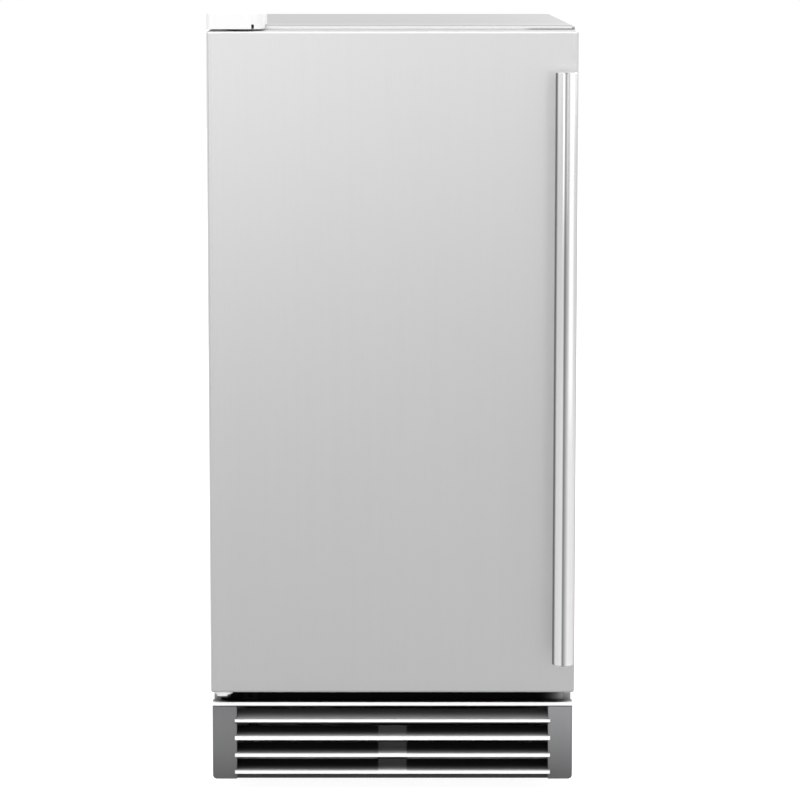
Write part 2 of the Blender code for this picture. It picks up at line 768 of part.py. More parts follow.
def side_panel(name, side):
    """A side panel with its front and rear edges folded in. Side is -1 on the left and 1 on the right."""
    outside, fold = side * SIDE, side * (SIDE - SIDE_FLANGE)
    low = (min(outside, fold), FRONT, BASE)
    high = (max(outside, fold), REAR, TOP - TOP_FLANGE - CLEARANCE)
    inward = (-side, 0, 0)
    return shell(name, low, high, [inward, UP, DOWN], PANEL_WALL, stainless())


def cabinet():
    side_panel("side_panel_left", -1)
    side_panel("side_panel_right", 1)
    low, high = (-SIDE, FRONT, TOP - TOP_FLANGE), (SIDE, REAR, TOP)
    shell("top_panel", low, high, [DOWN], TOP_WALL, stainless(), TOP_EDGE_RADIUS)
    low = (-PANEL_INSIDE, FRONT + PANEL_WALL + CLEARANCE, BASE)
    high = (PANEL_INSIDE, REAR - PANEL_WALL - CLEARANCE, BASE + BASE_FLANGE)
    pan = shell("base_pan", low, high, [UP], BASE_WALL, galvanised())
    for x, y in FOOT_PLACES.values():
        start, length = (x, y, BASE), FOOT_BOSS_HEIGHT
        join(pan, cylinder("base_pan boss", FOOT_BOSS_RADIUS, start, length, ALONG_Z, steps=SMALL_STEPS))
    for x, y in FOOT_PLACES.values():
        hole = FOOT_STUD_RADIUS + RUNNING_GAP
        start, length = (x, y, BASE - OVERRUN), FOOT_BOSS_HEIGHT + OVERRUN * 2
        cut(pan, cylinder("base_pan stud hole", hole, start, length, ALONG_Z, steps=SMALL_STEPS))
    side = SIDE - TOP_EDGE_RADIUS - CLEARANCE
    low = (-side, COVER_FACE + CLEARANCE, BAY_TOP - CLEARANCE - PANEL_WALL)
    high = (side, REAR_PANEL_FACE, TOP - TOP_EDGE_RADIUS - CLEARANCE)
    shell("rear_panel", low, high, [FORWARD, UP, LEFT, RIGHT], PANEL_WALL, galvanised())
    low = (-PANEL_INSIDE, FRONT + PANEL_WALL + CLEARANCE, CROSSMEMBER_TOP - CROSSMEMBER_HEIGHT)
    high = (PANEL_INSIDE, low[1] + CROSSMEMBER_DEPTH, CROSSMEMBER_TOP)
    shell("front_crossmember", low, high, [BACKWARD, LEFT, RIGHT], CROSSMEMBER_WALL, black_paint())


def levelling_foot(name, x, y):
    """A round pad with a neck and a stud that screws into the base pan's boss."""
    stud_top = FOOT_PAD_HEIGHT + FOOT_STUD_LENGTH
    profile = [
        (0, stud_top),
        (FOOT_STUD_RADIUS, stud_top),
        (FOOT_STUD_RADIUS, FOOT_PAD_HEIGHT),
        (FOOT_NECK_RADIUS, FOOT_PAD_HEIGHT),
        (FOOT_NECK_RADIUS, FOOT_BASE_HEIGHT + FOOT_PAD_CHAMFER),
        (FOOT_PAD_RADIUS - FOOT_PAD_CHAMFER, FOOT_BASE_HEIGHT + FOOT_PAD_CHAMFER),
        (FOOT_PAD_RADIUS, FOOT_BASE_HEIGHT),
        (FOOT_PAD_RADIUS, 0),
        (0, 0),
    ]
    return turned(name, profile, (x, y, 0), black_rubber())


# Bin


def liner_form(name, grow, look=None):
    """The bin's moulded form with its step over the machine compartment, grown outwards by a wall."""
    mouth = FRONT - LINER_CORNER_RADIUS - OVERRUN * 2
    outline = [
        (mouth, BIN_FLOOR - grow),
        (BIN_STEP_FRONT + grow, BIN_FLOOR - grow),
        (BIN_STEP_FRONT + grow, BIN_STEP - grow),
        (BIN_REAR + grow, BIN_STEP - grow),
        (BIN_REAR + grow, BIN_TOP + grow),
        (mouth, BIN_TOP + grow),
    ]
    form = extruded(name, [outline], -BIN_SIDE - grow, BIN_SIDE + grow, FROM_SIDE, look)
    return bevel(form, LINER_CORNER_RADIUS - LINER_WALL + grow, BEND_STEPS)


def drain_hole(name):
    start = (0, DRAIN_Y, FOAM_BOTTOM - OVERRUN)
    return cylinder(name, DRAIN_RADIUS + CLEARANCE, start, BIN_FLOOR - FOAM_BOTTOM + OVERRUN * 2, ALONG_Z)


def bin_and_foam():
    liner = liner_form("bin_liner", LINER_WALL, white_plastic())
    ahead = FRONT - LINER_CORNER_RADIUS - OVERRUN * 3
    low, high = (-SIDE, ahead, FOAM_BOTTOM), (SIDE, FRONT, TOP)
    cut(liner, box("bin_liner mouth", low, high))
    edge = SIDE - SIDE_FLANGE - CLEARANCE
    low = (-edge, FRONT, FOAM_BOTTOM)
    high = (edge, FRONT + LINER_WALL, TOP - TOP_FLANGE - CLEARANCE)
    join(liner, box("bin_liner flange", low, high))
    cut(liner, liner_form("bin_liner inside", 0), drain_hole("bin_liner drain hole"))

    front = FRONT + LINER_WALL + CLEARANCE
    rear = REAR_PANEL_FACE - PANEL_WALL - CLEARANCE
    top = TOP - TOP_WALL - CLEARANCE
    outline = [
        (front, FOAM_BOTTOM),
        (BAY_FRONT, FOAM_BOTTOM),
        (BAY_FRONT, BAY_TOP),
        (rear, BAY_TOP),
        (rear, top),
        (front, top),
    ]
    look = surface("insulation foam", FOAM, 0.9, 0)
    foam = extruded("insulation", [outline], -PANEL_INSIDE, PANEL_INSIDE, FROM_SIDE, look)
    bevel(foam, TOP_EDGE_RADIUS, 1)
    cut(foam, liner_form("insulation hollow", LINER_WALL + CLEARANCE), drain_hole("insulation drain hole"))


def bin_fittings():
    top = BIN_FLOOR + CLEARANCE + DRAIN_FLANGE_WALL
    bore, low = DRAIN_RADIUS - DRAIN_WALL, FOAM_BOTTOM - DRAIN_SPIGOT
    profile = [
        (bore, top),
        (DRAIN_FLANGE_RADIUS, top),
        (DRAIN_FLANGE_RADIUS, top - DRAIN_FLANGE_WALL),
        (DRAIN_RADIUS, top - DRAIN_FLANGE_WALL),
        (DRAIN_RADIUS, low),
        (bore, low),
    ]
    turned("bin_drain", profile, (0, DRAIN_Y, 0), grey_plastic(), closed=True)

    # An open pocket on the bin's right wall, with a lip that the scoop's mouth stands on
    low, high = Vector(HOLDER_LOW), Vector(HOLDER_HIGH)
    holder = shell("scoop_holder", low, high, [UP], HOLDER_WALL, white_plastic(), HOLDER_WALL + HOLDER_GAP)
    inset = HOLDER_WALL + HOLDER_LIP
    low = (low.x + inset, low.y + inset, low.z - OVERRUN)
    high = (high.x - inset, high.y - inset, low[2] + OVERRUN * 2)
    cut(holder, box("scoop_holder drain", low, high))


def scoop():
    """A bowl that is open at its top and its mouth, hung with the mouth down, and a round grip above it."""
    inset = HOLDER_WALL + HOLDER_GAP
    low = Vector(HOLDER_LOW) + Vector((inset, inset, HOLDER_WALL + CLEARANCE))
    high = low + Vector((SCOOP_DEPTH, SCOOP_WIDTH, SCOOP_LENGTH))
    look = surface("clear grey plastic", CLEAR_GREY, 0.25, 0)
    bowl = shell("ice_scoop", low, high, [LEFT, DOWN], SCOOP_WALL, look, SCOOP_CORNER_RADIUS)
    slant = [
        (low.x - OVERRUN, low.z - OVERRUN),
        (low.x + SCOOP_DEPTH * SCOOP_SLANT_SHARE, low.z - OVERRUN),
        (low.x - OVERRUN, low.z + SCOOP_SLANT),
    ]
    cut(bowl, extruded("ice_scoop slant", [slant], low.y - OVERRUN, high.y + OVERRUN, FROM_FRONT))
    middle = (low + high) / 2
    start = (middle.x, middle.y, high.z - SCOOP_WALL / 2)
    grip = cylinder("ice_scoop grip", SCOOP_GRIP_RADIUS, start, SCOOP_GRIP_LENGTH, ALONG_Z)
    join(bowl, bevel(grip, SCOOP_GRIP_EDGE))
    return bowl


# Hinges


def hinge_pin(name, low, high):
    return cylinder(name, HINGE_PIN_RADIUS, (HINGE_X, HINGE_Y, low), high - low, ALONG_Z)


def hinges():
    left, right = HINGE_X - HINGE_TONGUE_WIDTH / 2, HINGE_X + HINGE_TONGUE_WIDTH / 2
    nose = HINGE_Y - HINGE_TONGUE_REACH
    bottom = TOP + CLEARANCE
    outline = [
        (left, nose),
        (right, nose),
        (left + HINGE_PLATE_WIDTH, FRONT),
        (left + HINGE_PLATE_WIDTH, FRONT + UPPER_PLATE_DEPTH),
        (left, FRONT + UPPER_PLATE_DEPTH),
    ]
    outline = rounded(outline, [HINGE_CORNER_RADIUS] * len(outline))
    top = bottom + HINGE_PLATE_WALL
    plate = extruded("top_hinge_plate", [outline], bottom, top, FROM_ABOVE, galvanised())
    join(plate, hinge_pin("top_hinge_plate pin", DOOR_TOP - HINGE_PIN_LENGTH, bottom + HINGE_PLATE_WALL / 2))

    top = DOOR_BOTTOM - LOWER_PLATE_DROP
    bottom = top - HINGE_PLATE_WALL
    root = -(SIDE - SIDE_FLANGE - CLEARANCE)
    rear = FRONT + PANEL_WALL
    outline = [
        (left, nose),
        (right, nose),
        (right, FRONT - LOWER_PLATE_DEPTH),
        (root + HINGE_PLATE_WIDTH, FRONT - LOWER_PLATE_DEPTH),
        (root + HINGE_PLATE_WIDTH, rear),
        (root, rear),
        (root, FRONT - CLEARANCE),
        (left, FRONT - CLEARANCE),
    ]
    plate = extruded("bottom_hinge_plate", [outline], bottom, top, FROM_ABOVE, galvanised())
    low = (root, rear - HINGE_PLATE_WALL, bottom - LOWER_PLATE_FOLD)
    high = (root + HINGE_PLATE_WIDTH, rear, top - HINGE_PLATE_WALL / 2)
    join(plate, box("bottom_hinge_plate fold", low, high))
    foot = top - HINGE_PLATE_WALL / 2
    join(plate, hinge_pin("bottom_hinge_plate pin", foot, DOOR_BOTTOM + HINGE_PIN_LENGTH))


def cap_outline(inset):
    left, right = -DOOR_SIDE + inset, -DOOR_SIDE + CAP_WIDTH - inset
    front, rear = DOOR_FACE + CAP_FRONT_SETBACK + inset, FRONT + CAP_REAR_REACH - inset
    radii = [max(radius - inset, CLEARANCE) for radius in (CAP_SIDE_RADIUS, CAP_FRONT_RADIUS)]
    corners = [(left, front), (right, front), (right, rear), (left, rear)]
    return rounded(corners, [radii[0], radii[1], radii[0], radii[0]], BEND_STEPS * 2)


def hinge_cap():
    """A moulded cover over the upper hinge. It stands on the cabinet's top and reaches out over the door."""
    rim, crown = DOOR_TOP + CAP_DOOR_GAP, TOP + CAP_HEIGHT
    low = rim - CAP_EDGE_RADIUS * 2
    cap = extruded("top_hinge_cap", [cap_outline(0)], low, crown, FROM_ABOVE, white_plastic())
    bevel(cap, CAP_EDGE_RADIUS, BEND_STEPS)
    step = FRONT - CAP_DOOR_GAP
    left, right = -DOOR_SIDE - OVERRUN, -DOOR_SIDE + CAP_WIDTH + OVERRUN
    below, behind = low - OVERRUN, FRONT + CAP_REAR_REACH + OVERRUN
    cut(
        cap,
        box("top_hinge_cap rim", (left, DOOR_FACE - OVERRUN, below), (right, step + OVERRUN, rim)),
        box("top_hinge_cap foot", (left, step, below), (right, behind, TOP + CLEARANCE)),
        extruded("top_hinge_cap hollow", [cap_outline(CAP_WALL)], below, crown - CAP_WALL, FROM_ABOVE),
    )
    middle = -DOOR_SIDE + CAP_WIDTH * CAP_NOTCH_PLACE_SHARE
    low = (middle - CAP_NOTCH_WIDTH / 2, DOOR_FACE - OVERRUN, below)
    high = (middle + CAP_NOTCH_WIDTH / 2, DOOR_FACE + CAP_FRONT_RADIUS, rim + CAP_NOTCH_HEIGHT)
    cut(cap, box("top_hinge_cap notch", low, high))


# Kick grille


def blade_path(lip_top):
    """The curved blade behind a lip, from the lip's top edge to the blade's rear edge."""
    path = []
    for step in range(LOUVRE_STEPS + 1):
        share = step / LOUVRE_STEPS
        y = KICK_FACE + LOUVRE_WALL / 2 + (LOUVRE_DEPTH - LOUVRE_WALL / 2) * share
        path.append((y, lip_top - LOUVRE_WALL / 2 + LOUVRE_RISE * share**2))
    return path


def louvre_path(lip_top):
    return [(KICK_FACE + LOUVRE_WALL / 2, lip_top - LOUVRE_LIP), *blade_path(lip_top)]


def bottom_rail_path(lip_top):
    lip_foot = lip_top - LOUVRE_LIP
    set_back = KICK_FACE + BOTTOM_RAIL_STEP
    return [
        (set_back, KICK_BOTTOM),
        (set_back, lip_foot + LOUVRE_WALL / 2),
        (KICK_FACE + LOUVRE_WALL / 2, lip_foot + LOUVRE_WALL / 2),
        *blade_path(lip_top),
    ]


def lengthened(path, extra):
    """The same path with both of its ends drawn out."""
    points = [Vector(point) for point in path]
    first = points[0] + (points[0] - points[1]).normalized() * extra
    last = points[-1] + (points[-1] - points[-2]).normalized() * extra
    return [first, *points[1:-1], last]


def kick_end(name, side, paths):
    """A moulded end of the grille, hollow from behind, with a seat for the tip of each louvre."""
    inner, outer = side * GRILLE_SIDE, side * KICK_SIDE
    top = KICK_TOP - KICK_RAIL_WALL - CLEARANCE
    corners = [(inner, KICK_BOTTOM), (outer, KICK_BOTTOM), (outer, top), (inner, top)]
    outline = rounded(corners, [0, KICK_END_RADIUS, 0, 0])
    rear = FRONT - CLEARANCE
    end = extruded(name, [outline], KICK_FACE, rear, FROM_FRONT, surface("grey paint", GREY, 0.4, 0))
    near = side * (GRILLE_SIDE + KICK_END_WALL)
    far = side * (KICK_SIDE - KICK_END_SKIN)
    low = (min(near, far), KICK_FACE + KICK_END_SKIN, KICK_BOTTOM + KICK_END_SKIN)
    cut(end, box(name + " hollow", low, (max(near, far), rear + OVERRUN, top - KICK_END_SKIN)))
    seats = [sheet_outline(lengthened(path, CLEARANCE), LOUVRE_WALL + CLEARANCE * 2) for path in paths]
    start, stop = side * (GRILLE_SIDE - OVERRUN), side * (GRILLE_SIDE + LOUVRE_SEAT + CLEARANCE)
    cut(end, extruded(name + " seats", seats, min(start, stop), max(start, stop), FROM_SIDE))


def kick_grille():
    low = (-KICK_SIDE, KICK_FACE, KICK_TOP - KICK_RAIL_WALL)
    high = (KICK_SIDE, KICK_FACE + KICK_RAIL_DEPTH, KICK_TOP)
    box("kick_top_rail", low, high, stainless())
    tip = GRILLE_SIDE + LOUVRE_SEAT
    first = KICK_TOP - FIRST_LIP_DROP
    paths = [louvre_path(first - LOUVRE_PITCH * row) for row in range(LOUVRE_COUNT)]
    for row, path in enumerate(paths):
        outline = sheet_outline(path, LOUVRE_WALL)
        extruded(f"kick_louvre_{row + 1}", [outline], -tip, tip, FROM_SIDE, stainless())
    paths.append(bottom_rail_path(first - LOUVRE_PITCH * LOUVRE_COUNT))
    outline = sheet_outline(paths[-1], LOUVRE_WALL)
    extruded("kick_bottom_rail", [outline], -tip, tip, FROM_SIDE, stainless())
    kick_end("kick_end_left", -1, paths)
    kick_end("kick_end_right", 1, paths)

    # A folded strap that stands on the base pan's front edge and holds the louvres at the middle
    face = KICK_FACE + LOUVRE_DEPTH + CLEARANCE + CENTRE_BRACKET_WALL / 2
    seat = FRONT + PANEL_WALL - CENTRE_BRACKET_WALL / 2
    foot = BASE + CENTRE_BRACKET_WALL / 2
    strap_top = first - LOUVRE_PITCH + LOUVRE_RISE
    path = [(seat, foot + CENTRE_BRACKET_FOOT), (seat, foot), (face, foot), (face, strap_top)]
    outline = sheet_outline(path, CENTRE_BRACKET_WALL)
    width = CENTRE_BRACKET_WIDTH / 2
    extruded("kick_centre_bracket", [outline], -width, width, FROM_SIDE, galvanised())


# Door


def door():
    """The door's pieces, all carried by an empty on the hinge axis."""
    low, high = (-DOOR_SIDE, DOOR_FACE, DOOR_BOTTOM), (DOOR_SIDE, DOOR_REAR, DOOR_TOP)
    skin = shell("door_skin", low, high, [BACKWARD], DOOR_WALL, stainless(), DOOR_EDGE_RADIUS)

    inside = DOOR_WALL + CLEARANCE
    side, bottom, top = DOOR_SIDE - inside, DOOR_BOTTOM + inside, DOOR_TOP - inside
    liner_front = DOOR_REAR - DOOR_LINER_WALL
    low, high = (-side, DOOR_FACE + inside, bottom), (side, liner_front - CLEARANCE, top)
    foam = box("door_foam", low, high, surface("insulation foam", FOAM, 0.9, 0))
    bevel(foam, DOOR_EDGE_RADIUS, 1)

    outline = rounded(rectangle(-side, side, bottom, top), DOOR_EDGE_RADIUS)
    liner = extruded("door_liner", [outline], liner_front, DOOR_REAR, FROM_FRONT, white_plastic())
    bulge_side = BIN_SIDE - DOOR_BULGE_GAP
    low = Vector((-bulge_side, liner_front + DOOR_LINER_WALL / 2, BIN_FLOOR + DOOR_BULGE_GAP))
    high = Vector((bulge_side, DOOR_REAR + DOOR_BULGE_DEPTH, BIN_TOP - DOOR_BULGE_GAP))
    join(liner, bevel(box("door_liner bulge", low, high), DOOR_BULGE_RADIUS, BEND_STEPS))
    wall = Vector((DOOR_LINER_WALL, DOOR_LINER_WALL, DOOR_LINER_WALL))
    low, high = low + wall, high - wall
    low.y = liner_front - OVERRUN
    hollow = box("door_liner hollow", low, high)
    cut(liner, bevel(hollow, DOOR_BULGE_RADIUS - DOOR_LINER_WALL / 2, BEND_STEPS))

    edge, lower, upper = DOOR_SIDE - GASKET_INSET, DOOR_BOTTOM + GASKET_INSET, DOOR_TOP - GASKET_INSET
    outer = rectangle(-edge, edge, lower, upper)
    edge, lower, upper = edge - GASKET_WIDTH, lower + GASKET_WIDTH, upper - GASKET_WIDTH
    inner = rectangle(-edge, edge, lower, upper)
    rubber = surface("grey gasket", GREY, 0.75, 0)
    span = (DOOR_REAR + CLEARANCE, FRONT - CLEARANCE)
    gasket = extruded("door_gasket", [outer, inner], *span, FROM_FRONT, rubber)
    bevel(gasket, GASKET_EDGE_RADIUS, 1)

    bushes = []
    for name, end, way in (("door_bush_upper", DOOR_TOP, 1), ("door_bush_lower", DOOR_BOTTOM, -1)):
        bore, radius = HINGE_PIN_RADIUS + RUNNING_GAP, HINGE_PIN_RADIUS + RUNNING_GAP + BUSH_WALL
        flange = BUSH_FLANGE_WALL if way == 1 else LOWER_PLATE_DROP - CLEARANCE * 2
        heights = [end + way * (CLEARANCE + flange), end + way * CLEARANCE, end - way * BUSH_DEPTH]
        profile = [
            (bore, heights[0]),
            (BUSH_FLANGE_RADIUS, heights[0]),
            (BUSH_FLANGE_RADIUS, heights[1]),
            (radius, heights[1]),
            (radius, heights[2]),
            (bore, heights[2]),
        ]
        look = surface("white nylon", WHITE, 0.5, 0)
        place = (HINGE_X, HINGE_Y, 0)
        bushes.append(turned(name, profile[::way], place, look, closed=True, steps=SMALL_STEPS))
        start = end - way * (HINGE_PIN_LENGTH + OVERRUN)
        start = (HINGE_X, HINGE_Y, min(start, end + way * OVERRUN))
        length = HINGE_PIN_LENGTH + OVERRUN * 2
        for piece in (skin, foam):
            cut(piece, cylinder(f"{piece.name} {name} hole", radius + CLEARANCE, start, length, ALONG_Z))

    pivot("door_hinge_axis", (HINGE_X, HINGE_Y, 0), skin, foam, liner, gasket, *bushes, *door_handle())


def door_handle():
    x, y = DOOR_SIDE - HANDLE_SIDE_INSET, DOOR_FACE - HANDLE_REACH
    top, bottom = DOOR_TOP - HANDLE_TOP_INSET, DOOR_BOTTOM + HANDLE_BOTTOM_INSET
    profile = [
        (0, top),
        (HANDLE_RADIUS - HANDLE_EDGE_RADIUS, top),
        (HANDLE_RADIUS, top - HANDLE_EDGE_RADIUS),
        (HANDLE_RADIUS, bottom + HANDLE_EDGE_RADIUS),
        (HANDLE_RADIUS - HANDLE_EDGE_RADIUS, bottom),
        (0, bottom),
    ]
    bar = turned("handle_bar", profile, (x, y, 0), polished(), steps=FINE_STEPS)
    pieces = [bar]
    reach = HANDLE_REACH - HANDLE_RADIUS + HANDLE_POST_SEAT - CLEARANCE
    profile = [
        (0, reach),
        (HANDLE_POST_RADIUS, reach),
        (HANDLE_POST_RADIUS, HANDLE_COLLAR_WALL),
        (HANDLE_COLLAR_RADIUS, HANDLE_COLLAR_WALL),
        (HANDLE_COLLAR_RADIUS, 0),
        (0, 0),
    ]
    upper, lower = top - HANDLE_POST_INSET, bottom + HANDLE_POST_INSET
    for name, z in (("handle_post_upper", upper), ("handle_post_lower", lower)):
        seat = (x, y + HANDLE_RADIUS - HANDLE_POST_SEAT - CLEARANCE, z)
        hole = HANDLE_POST_RADIUS + CLEARANCE
        cut(bar, cylinder(name + " seat", hole, seat, HANDLE_POST_SEAT + OVERRUN, ALONG_Y))
        pieces.append(turned(name, profile, (x, DOOR_FACE - CLEARANCE, z), polished(), ALONG_Y))
    return pieces


# Ice making module


def evaporator_cells(name):
    """The pockets of the evaporator's grid, tapered so that the ice slides out."""
    pitch_x, pitch_z = EVAPORATOR_WIDTH / CELL_COLUMNS, EVAPORATOR_HEIGHT / CELL_ROWS
    depth = EVAPORATOR_THICKNESS - EVAPORATOR_WEB + OVERRUN
    size = Vector((pitch_x - EVAPORATOR_WEB * 2, depth, pitch_z - EVAPORATOR_WEB * 2))
    bm = bmesh.new()
    for column in range(CELL_COLUMNS):
        for row in range(CELL_ROWS):
            verts = bmesh.ops.create_cube(bm, size=1, matrix=Matrix.Diagonal((*size, 1)))["verts"]
            for vert in verts:
                if vert.co.y > 0:
                    vert.co.x *= CELL_DRAFT_SHARE
                    vert.co.z *= CELL_DRAFT_SHARE
            x = EVAPORATOR_LEFT + pitch_x * (column + 1 / 2)
            z = EVAPORATOR_BOTTOM + pitch_z * (row + 1 / 2)
            bmesh.ops.translate(bm, verts=verts, vec=(x, EVAPORATOR_FACE - OVERRUN + depth / 2, z))
    return placed(name, mesh_from(bm, name), None)


def evaporator():
    left, right = EVAPORATOR_LEFT, EVAPORATOR_RIGHT
    low = (left, EVAPORATOR_FACE, EVAPORATOR_BOTTOM)
    high = (right, EVAPORATOR_FACE + EVAPORATOR_THICKNESS, EVAPORATOR_BOTTOM + EVAPORATOR_HEIGHT)
    plate = box("evaporator_plate", low, high, polished())
    cut(plate, evaporator_cells("evaporator_plate cells"))

    # One tube that goes to and fro behind the plate
    y = high[1] + CLEARANCE + COIL_RADIUS
    step = EVAPORATOR_HEIGHT / COIL_PASSES
    bend = step / 2
    tail = HOUSING_REAR - HOUSING_WALL - CLEARANCE
    z = low[2] + bend
    route = [Vector((left + bend, tail, z))]
    for x, along in arc((left + step, y + bend), bend, 2, 3, BEND_STEPS):
        route.append(Vector((x, along, z)))
    for row in range(COIL_PASSES):
        z = low[2] + step * (row + 1 / 2)
        way = 1 if row % 2 == 0 else -1
        start, end = (left + step, right - step)[::way]
        route += [Vector((start, y, z))] * (row > 0) + [Vector((end, y, z))]
        if row == COIL_PASSES - 1:
            break
        for turn in range(1, COIL_BEND_STEPS):
            angle = math.pi * turn / COIL_BEND_STEPS
            route.append(Vector((end + way * bend * math.sin(angle), y, z + bend * (1 - math.cos(angle)))))
    for across, along in arc((0, y + bend), bend, 3, 4, BEND_STEPS)[1:]:
        route.append(Vector((end + way * across, along, z)))
    route.append(Vector((route[-1].x, tail, z)))
    tube("evaporator_coil", route, COIL_RADIUS, copper())

    # A housing that is open at its front and bottom, hung from the bin's ceiling, with lugs for the curtain
    outside = HOUSING_WALL + HOUSING_SIDE_GAP
    low = Vector((left - outside, HOUSING_REAR - HOUSING_DEPTH, EVAPORATOR_BOTTOM))
    high = Vector((right + outside, HOUSING_REAR, BIN_TOP - CLEARANCE))
    housing = shell("evaporator_housing", low, high, [FORWARD, DOWN], HOUSING_WALL, grey_plastic())
    axis_y, axis_z = low.y - CURTAIN_GAP, high.z - HOUSING_WALL - CURTAIN_LUG
    for name, x in (("left", low.x), ("right", high.x - HOUSING_WALL)):
        corner = Vector((x, axis_y - CURTAIN_LUG / 2, axis_z - CURTAIN_LUG))
        far = Vector((x + HOUSING_WALL, low.y + OVERRUN, high.z))
        join(housing, box(f"evaporator_housing {name} lug", corner, far))
    start = (low.x - OVERRUN, axis_y, axis_z)
    bore = CURTAIN_PIN_RADIUS + RUNNING_GAP
    length = high.x - low.x + OVERRUN * 2
    cut(housing, cylinder("evaporator_housing pin holes", bore, start, length, ALONG_X, steps=SMALL_STEPS))
    spray = Vector((low.x, DISTRIBUTOR_Y, DISTRIBUTOR_Z))
    start = spray - Vector((OVERRUN, 0, 0))
    bore = HOSE_RADIUS + HOSE_HOLE_GAP
    cut(housing, cylinder("evaporator_housing hose hole", bore, start, HOUSING_WALL + OVERRUN * 2, ALONG_X))

    # The curtain that hangs in front of the plate. Ice pushes it open as it drops
    gap = HOUSING_WALL + RUNNING_GAP
    path = [
        (axis_y, axis_z),
        (axis_y, low.z + CURTAIN_FLARE * 2),
        (axis_y - CURTAIN_FLARE, low.z - CURTAIN_GAP),
    ]
    outline = sheet_outline(path, CURTAIN_WALL)
    look = surface("clear grey plastic", CLEAR_GREY, 0.25, 0)
    curtain = extruded("water_curtain", [outline], low.x + gap, high.x - gap, FROM_SIDE, look)
    pin = cylinder("water_curtain pin", CURTAIN_PIN_RADIUS, (low.x, axis_y, axis_z), high.x - low.x, ALONG_X)
    join(curtain, pin)
    pivot("curtain_axis", ((left + right) / 2, axis_y, axis_z), curtain)

    # The distributor tube, with a row of spray holes along its underside
    length = EVAPORATOR_WIDTH + HOUSING_SIDE_GAP * 2 - CLEARANCE * 2
    start = (left - HOUSING_SIDE_GAP + CLEARANCE, DISTRIBUTOR_Y, DISTRIBUTOR_Z)
    bore = DISTRIBUTOR_RADIUS - DISTRIBUTOR_WALL
    spray_tube = ring("water_distributor", start, bore, DISTRIBUTOR_RADIUS, length, white_plastic(), ALONG_X)
    for hole in range(DISTRIBUTOR_HOLES):
        x = left + EVAPORATOR_WIDTH * (hole + 1 / 2) / DISTRIBUTOR_HOLES
        place = (x, DISTRIBUTOR_Y, DISTRIBUTOR_Z - DISTRIBUTOR_RADIUS - OVERRUN)
        name = f"water_distributor hole {hole + 1}"
        depth = DISTRIBUTOR_RADIUS + OVERRUN
        steps = SMALL_STEPS // 2
        cut(spray_tube, cylinder(name, DISTRIBUTOR_HOLE_RADIUS, place, depth, ALONG_Z, steps=steps))


def trough_and_pump():
    side = BIN_SIDE - TROUGH_SIDE_GAP
    low = Vector((-side, HOUSING_REAR - TROUGH_DEPTH, TROUGH_TOP - TROUGH_HEIGHT))
    high = Vector((side, HOUSING_REAR, TROUGH_TOP))
    trough = shell("water_trough", low, high, [UP], TROUGH_WALL, white_plastic(), TROUGH_CORNER_RADIUS)
    floor = low.z + TROUGH_WALL
    middle_y = (low.y + high.y) / 2
    float_x = side - TROUGH_WALL - FLOAT_RADIUS - FLOAT_SIDE_GAP
    post = cylinder(
        "water_trough float guide",
        FLOAT_GUIDE_RADIUS,
        (float_x, middle_y, floor - TROUGH_WALL / 2),
        FLOAT_GUIDE_HEIGHT + TROUGH_WALL / 2,
        ALONG_Z,
        steps=SMALL_STEPS,
    )
    join(trough, post)
    bore = FLOAT_GUIDE_RADIUS + RUNNING_GAP
    place = (float_x, middle_y, floor + CLEARANCE)
    look = surface("blue plastic", BLUE, 0.4, 0)
    ring("water_float", place, bore, FLOAT_RADIUS, FLOAT_HEIGHT, look)

    pump_x = -side + TROUGH_WALL + PUMP_RADIUS + PUMP_SIDE_GAP
    foot = floor + CLEARANCE
    neck_foot = foot + PUMP_BODY_HEIGHT
    motor_foot = neck_foot + PUMP_NECK_HEIGHT
    motor_top = motor_foot + PUMP_MOTOR_HEIGHT
    profile = [
        (0, motor_top),
        (PUMP_RADIUS - PUMP_EDGE, motor_top),
        (PUMP_RADIUS, motor_top - PUMP_EDGE),
        (PUMP_RADIUS, motor_foot),
        (PUMP_NECK_RADIUS, motor_foot),
        (PUMP_NECK_RADIUS, neck_foot),
        (PUMP_RADIUS, neck_foot),
        (PUMP_RADIUS, foot),
        (0, foot),
    ]
    pump = turned("circulation_pump", profile, (pump_x, middle_y, 0), grey_plastic())
    spout_y = middle_y - PUMP_RADIUS - PUMP_SPOUT
    spout_z = foot + PUMP_BODY_HEIGHT / 2
    length = PUMP_SPOUT + PUMP_RADIUS / 2
    spout, name = (pump_x, spout_y, spout_z), "circulation_pump spout"
    join(pump, cylinder(name, PUMP_SPOUT_RADIUS, spout, length, ALONG_Y, steps=SMALL_STEPS))

    # The hose runs up past the motor, then sideways through the housing into the distributor
    start = Vector((pump_x, spout_y - CLEARANCE, spout_z))
    rise_y = low.y + TROUGH_WALL + HOSE_RADIUS + RUNNING_GAP * 2
    inlet = Vector((EVAPORATOR_LEFT + HOSE_SEAT, DISTRIBUTOR_Y, DISTRIBUTOR_Z))
    outside = Vector((inlet.x - HOSE_SEAT - HOUSING_WALL - HOSE_RADIUS * 2, inlet.y, inlet.z))
    route = [
        start,
        start + Vector((0, (rise_y - start.y) / 2, 0)),
        Vector((pump_x, rise_y, spout_z + HOSE_RADIUS)),
        Vector((pump_x, rise_y, TROUGH_TOP)),
        Vector((pump_x, (rise_y * 2 + inlet.y) / 3, (TROUGH_TOP + inlet.z) / 2)),
        Vector((pump_x, inlet.y, inlet.z - HOSE_RADIUS * 6)),
        Vector((pump_x + HOSE_RADIUS, inlet.y, inlet.z - HOSE_RADIUS * 2)),
        outside,
        (outside + inlet) / 2,
        inlet,
    ]
    tube("pump_hose", smooth_route(route, BEND_STEPS), HOSE_RADIUS, black_rubber())


# Controls


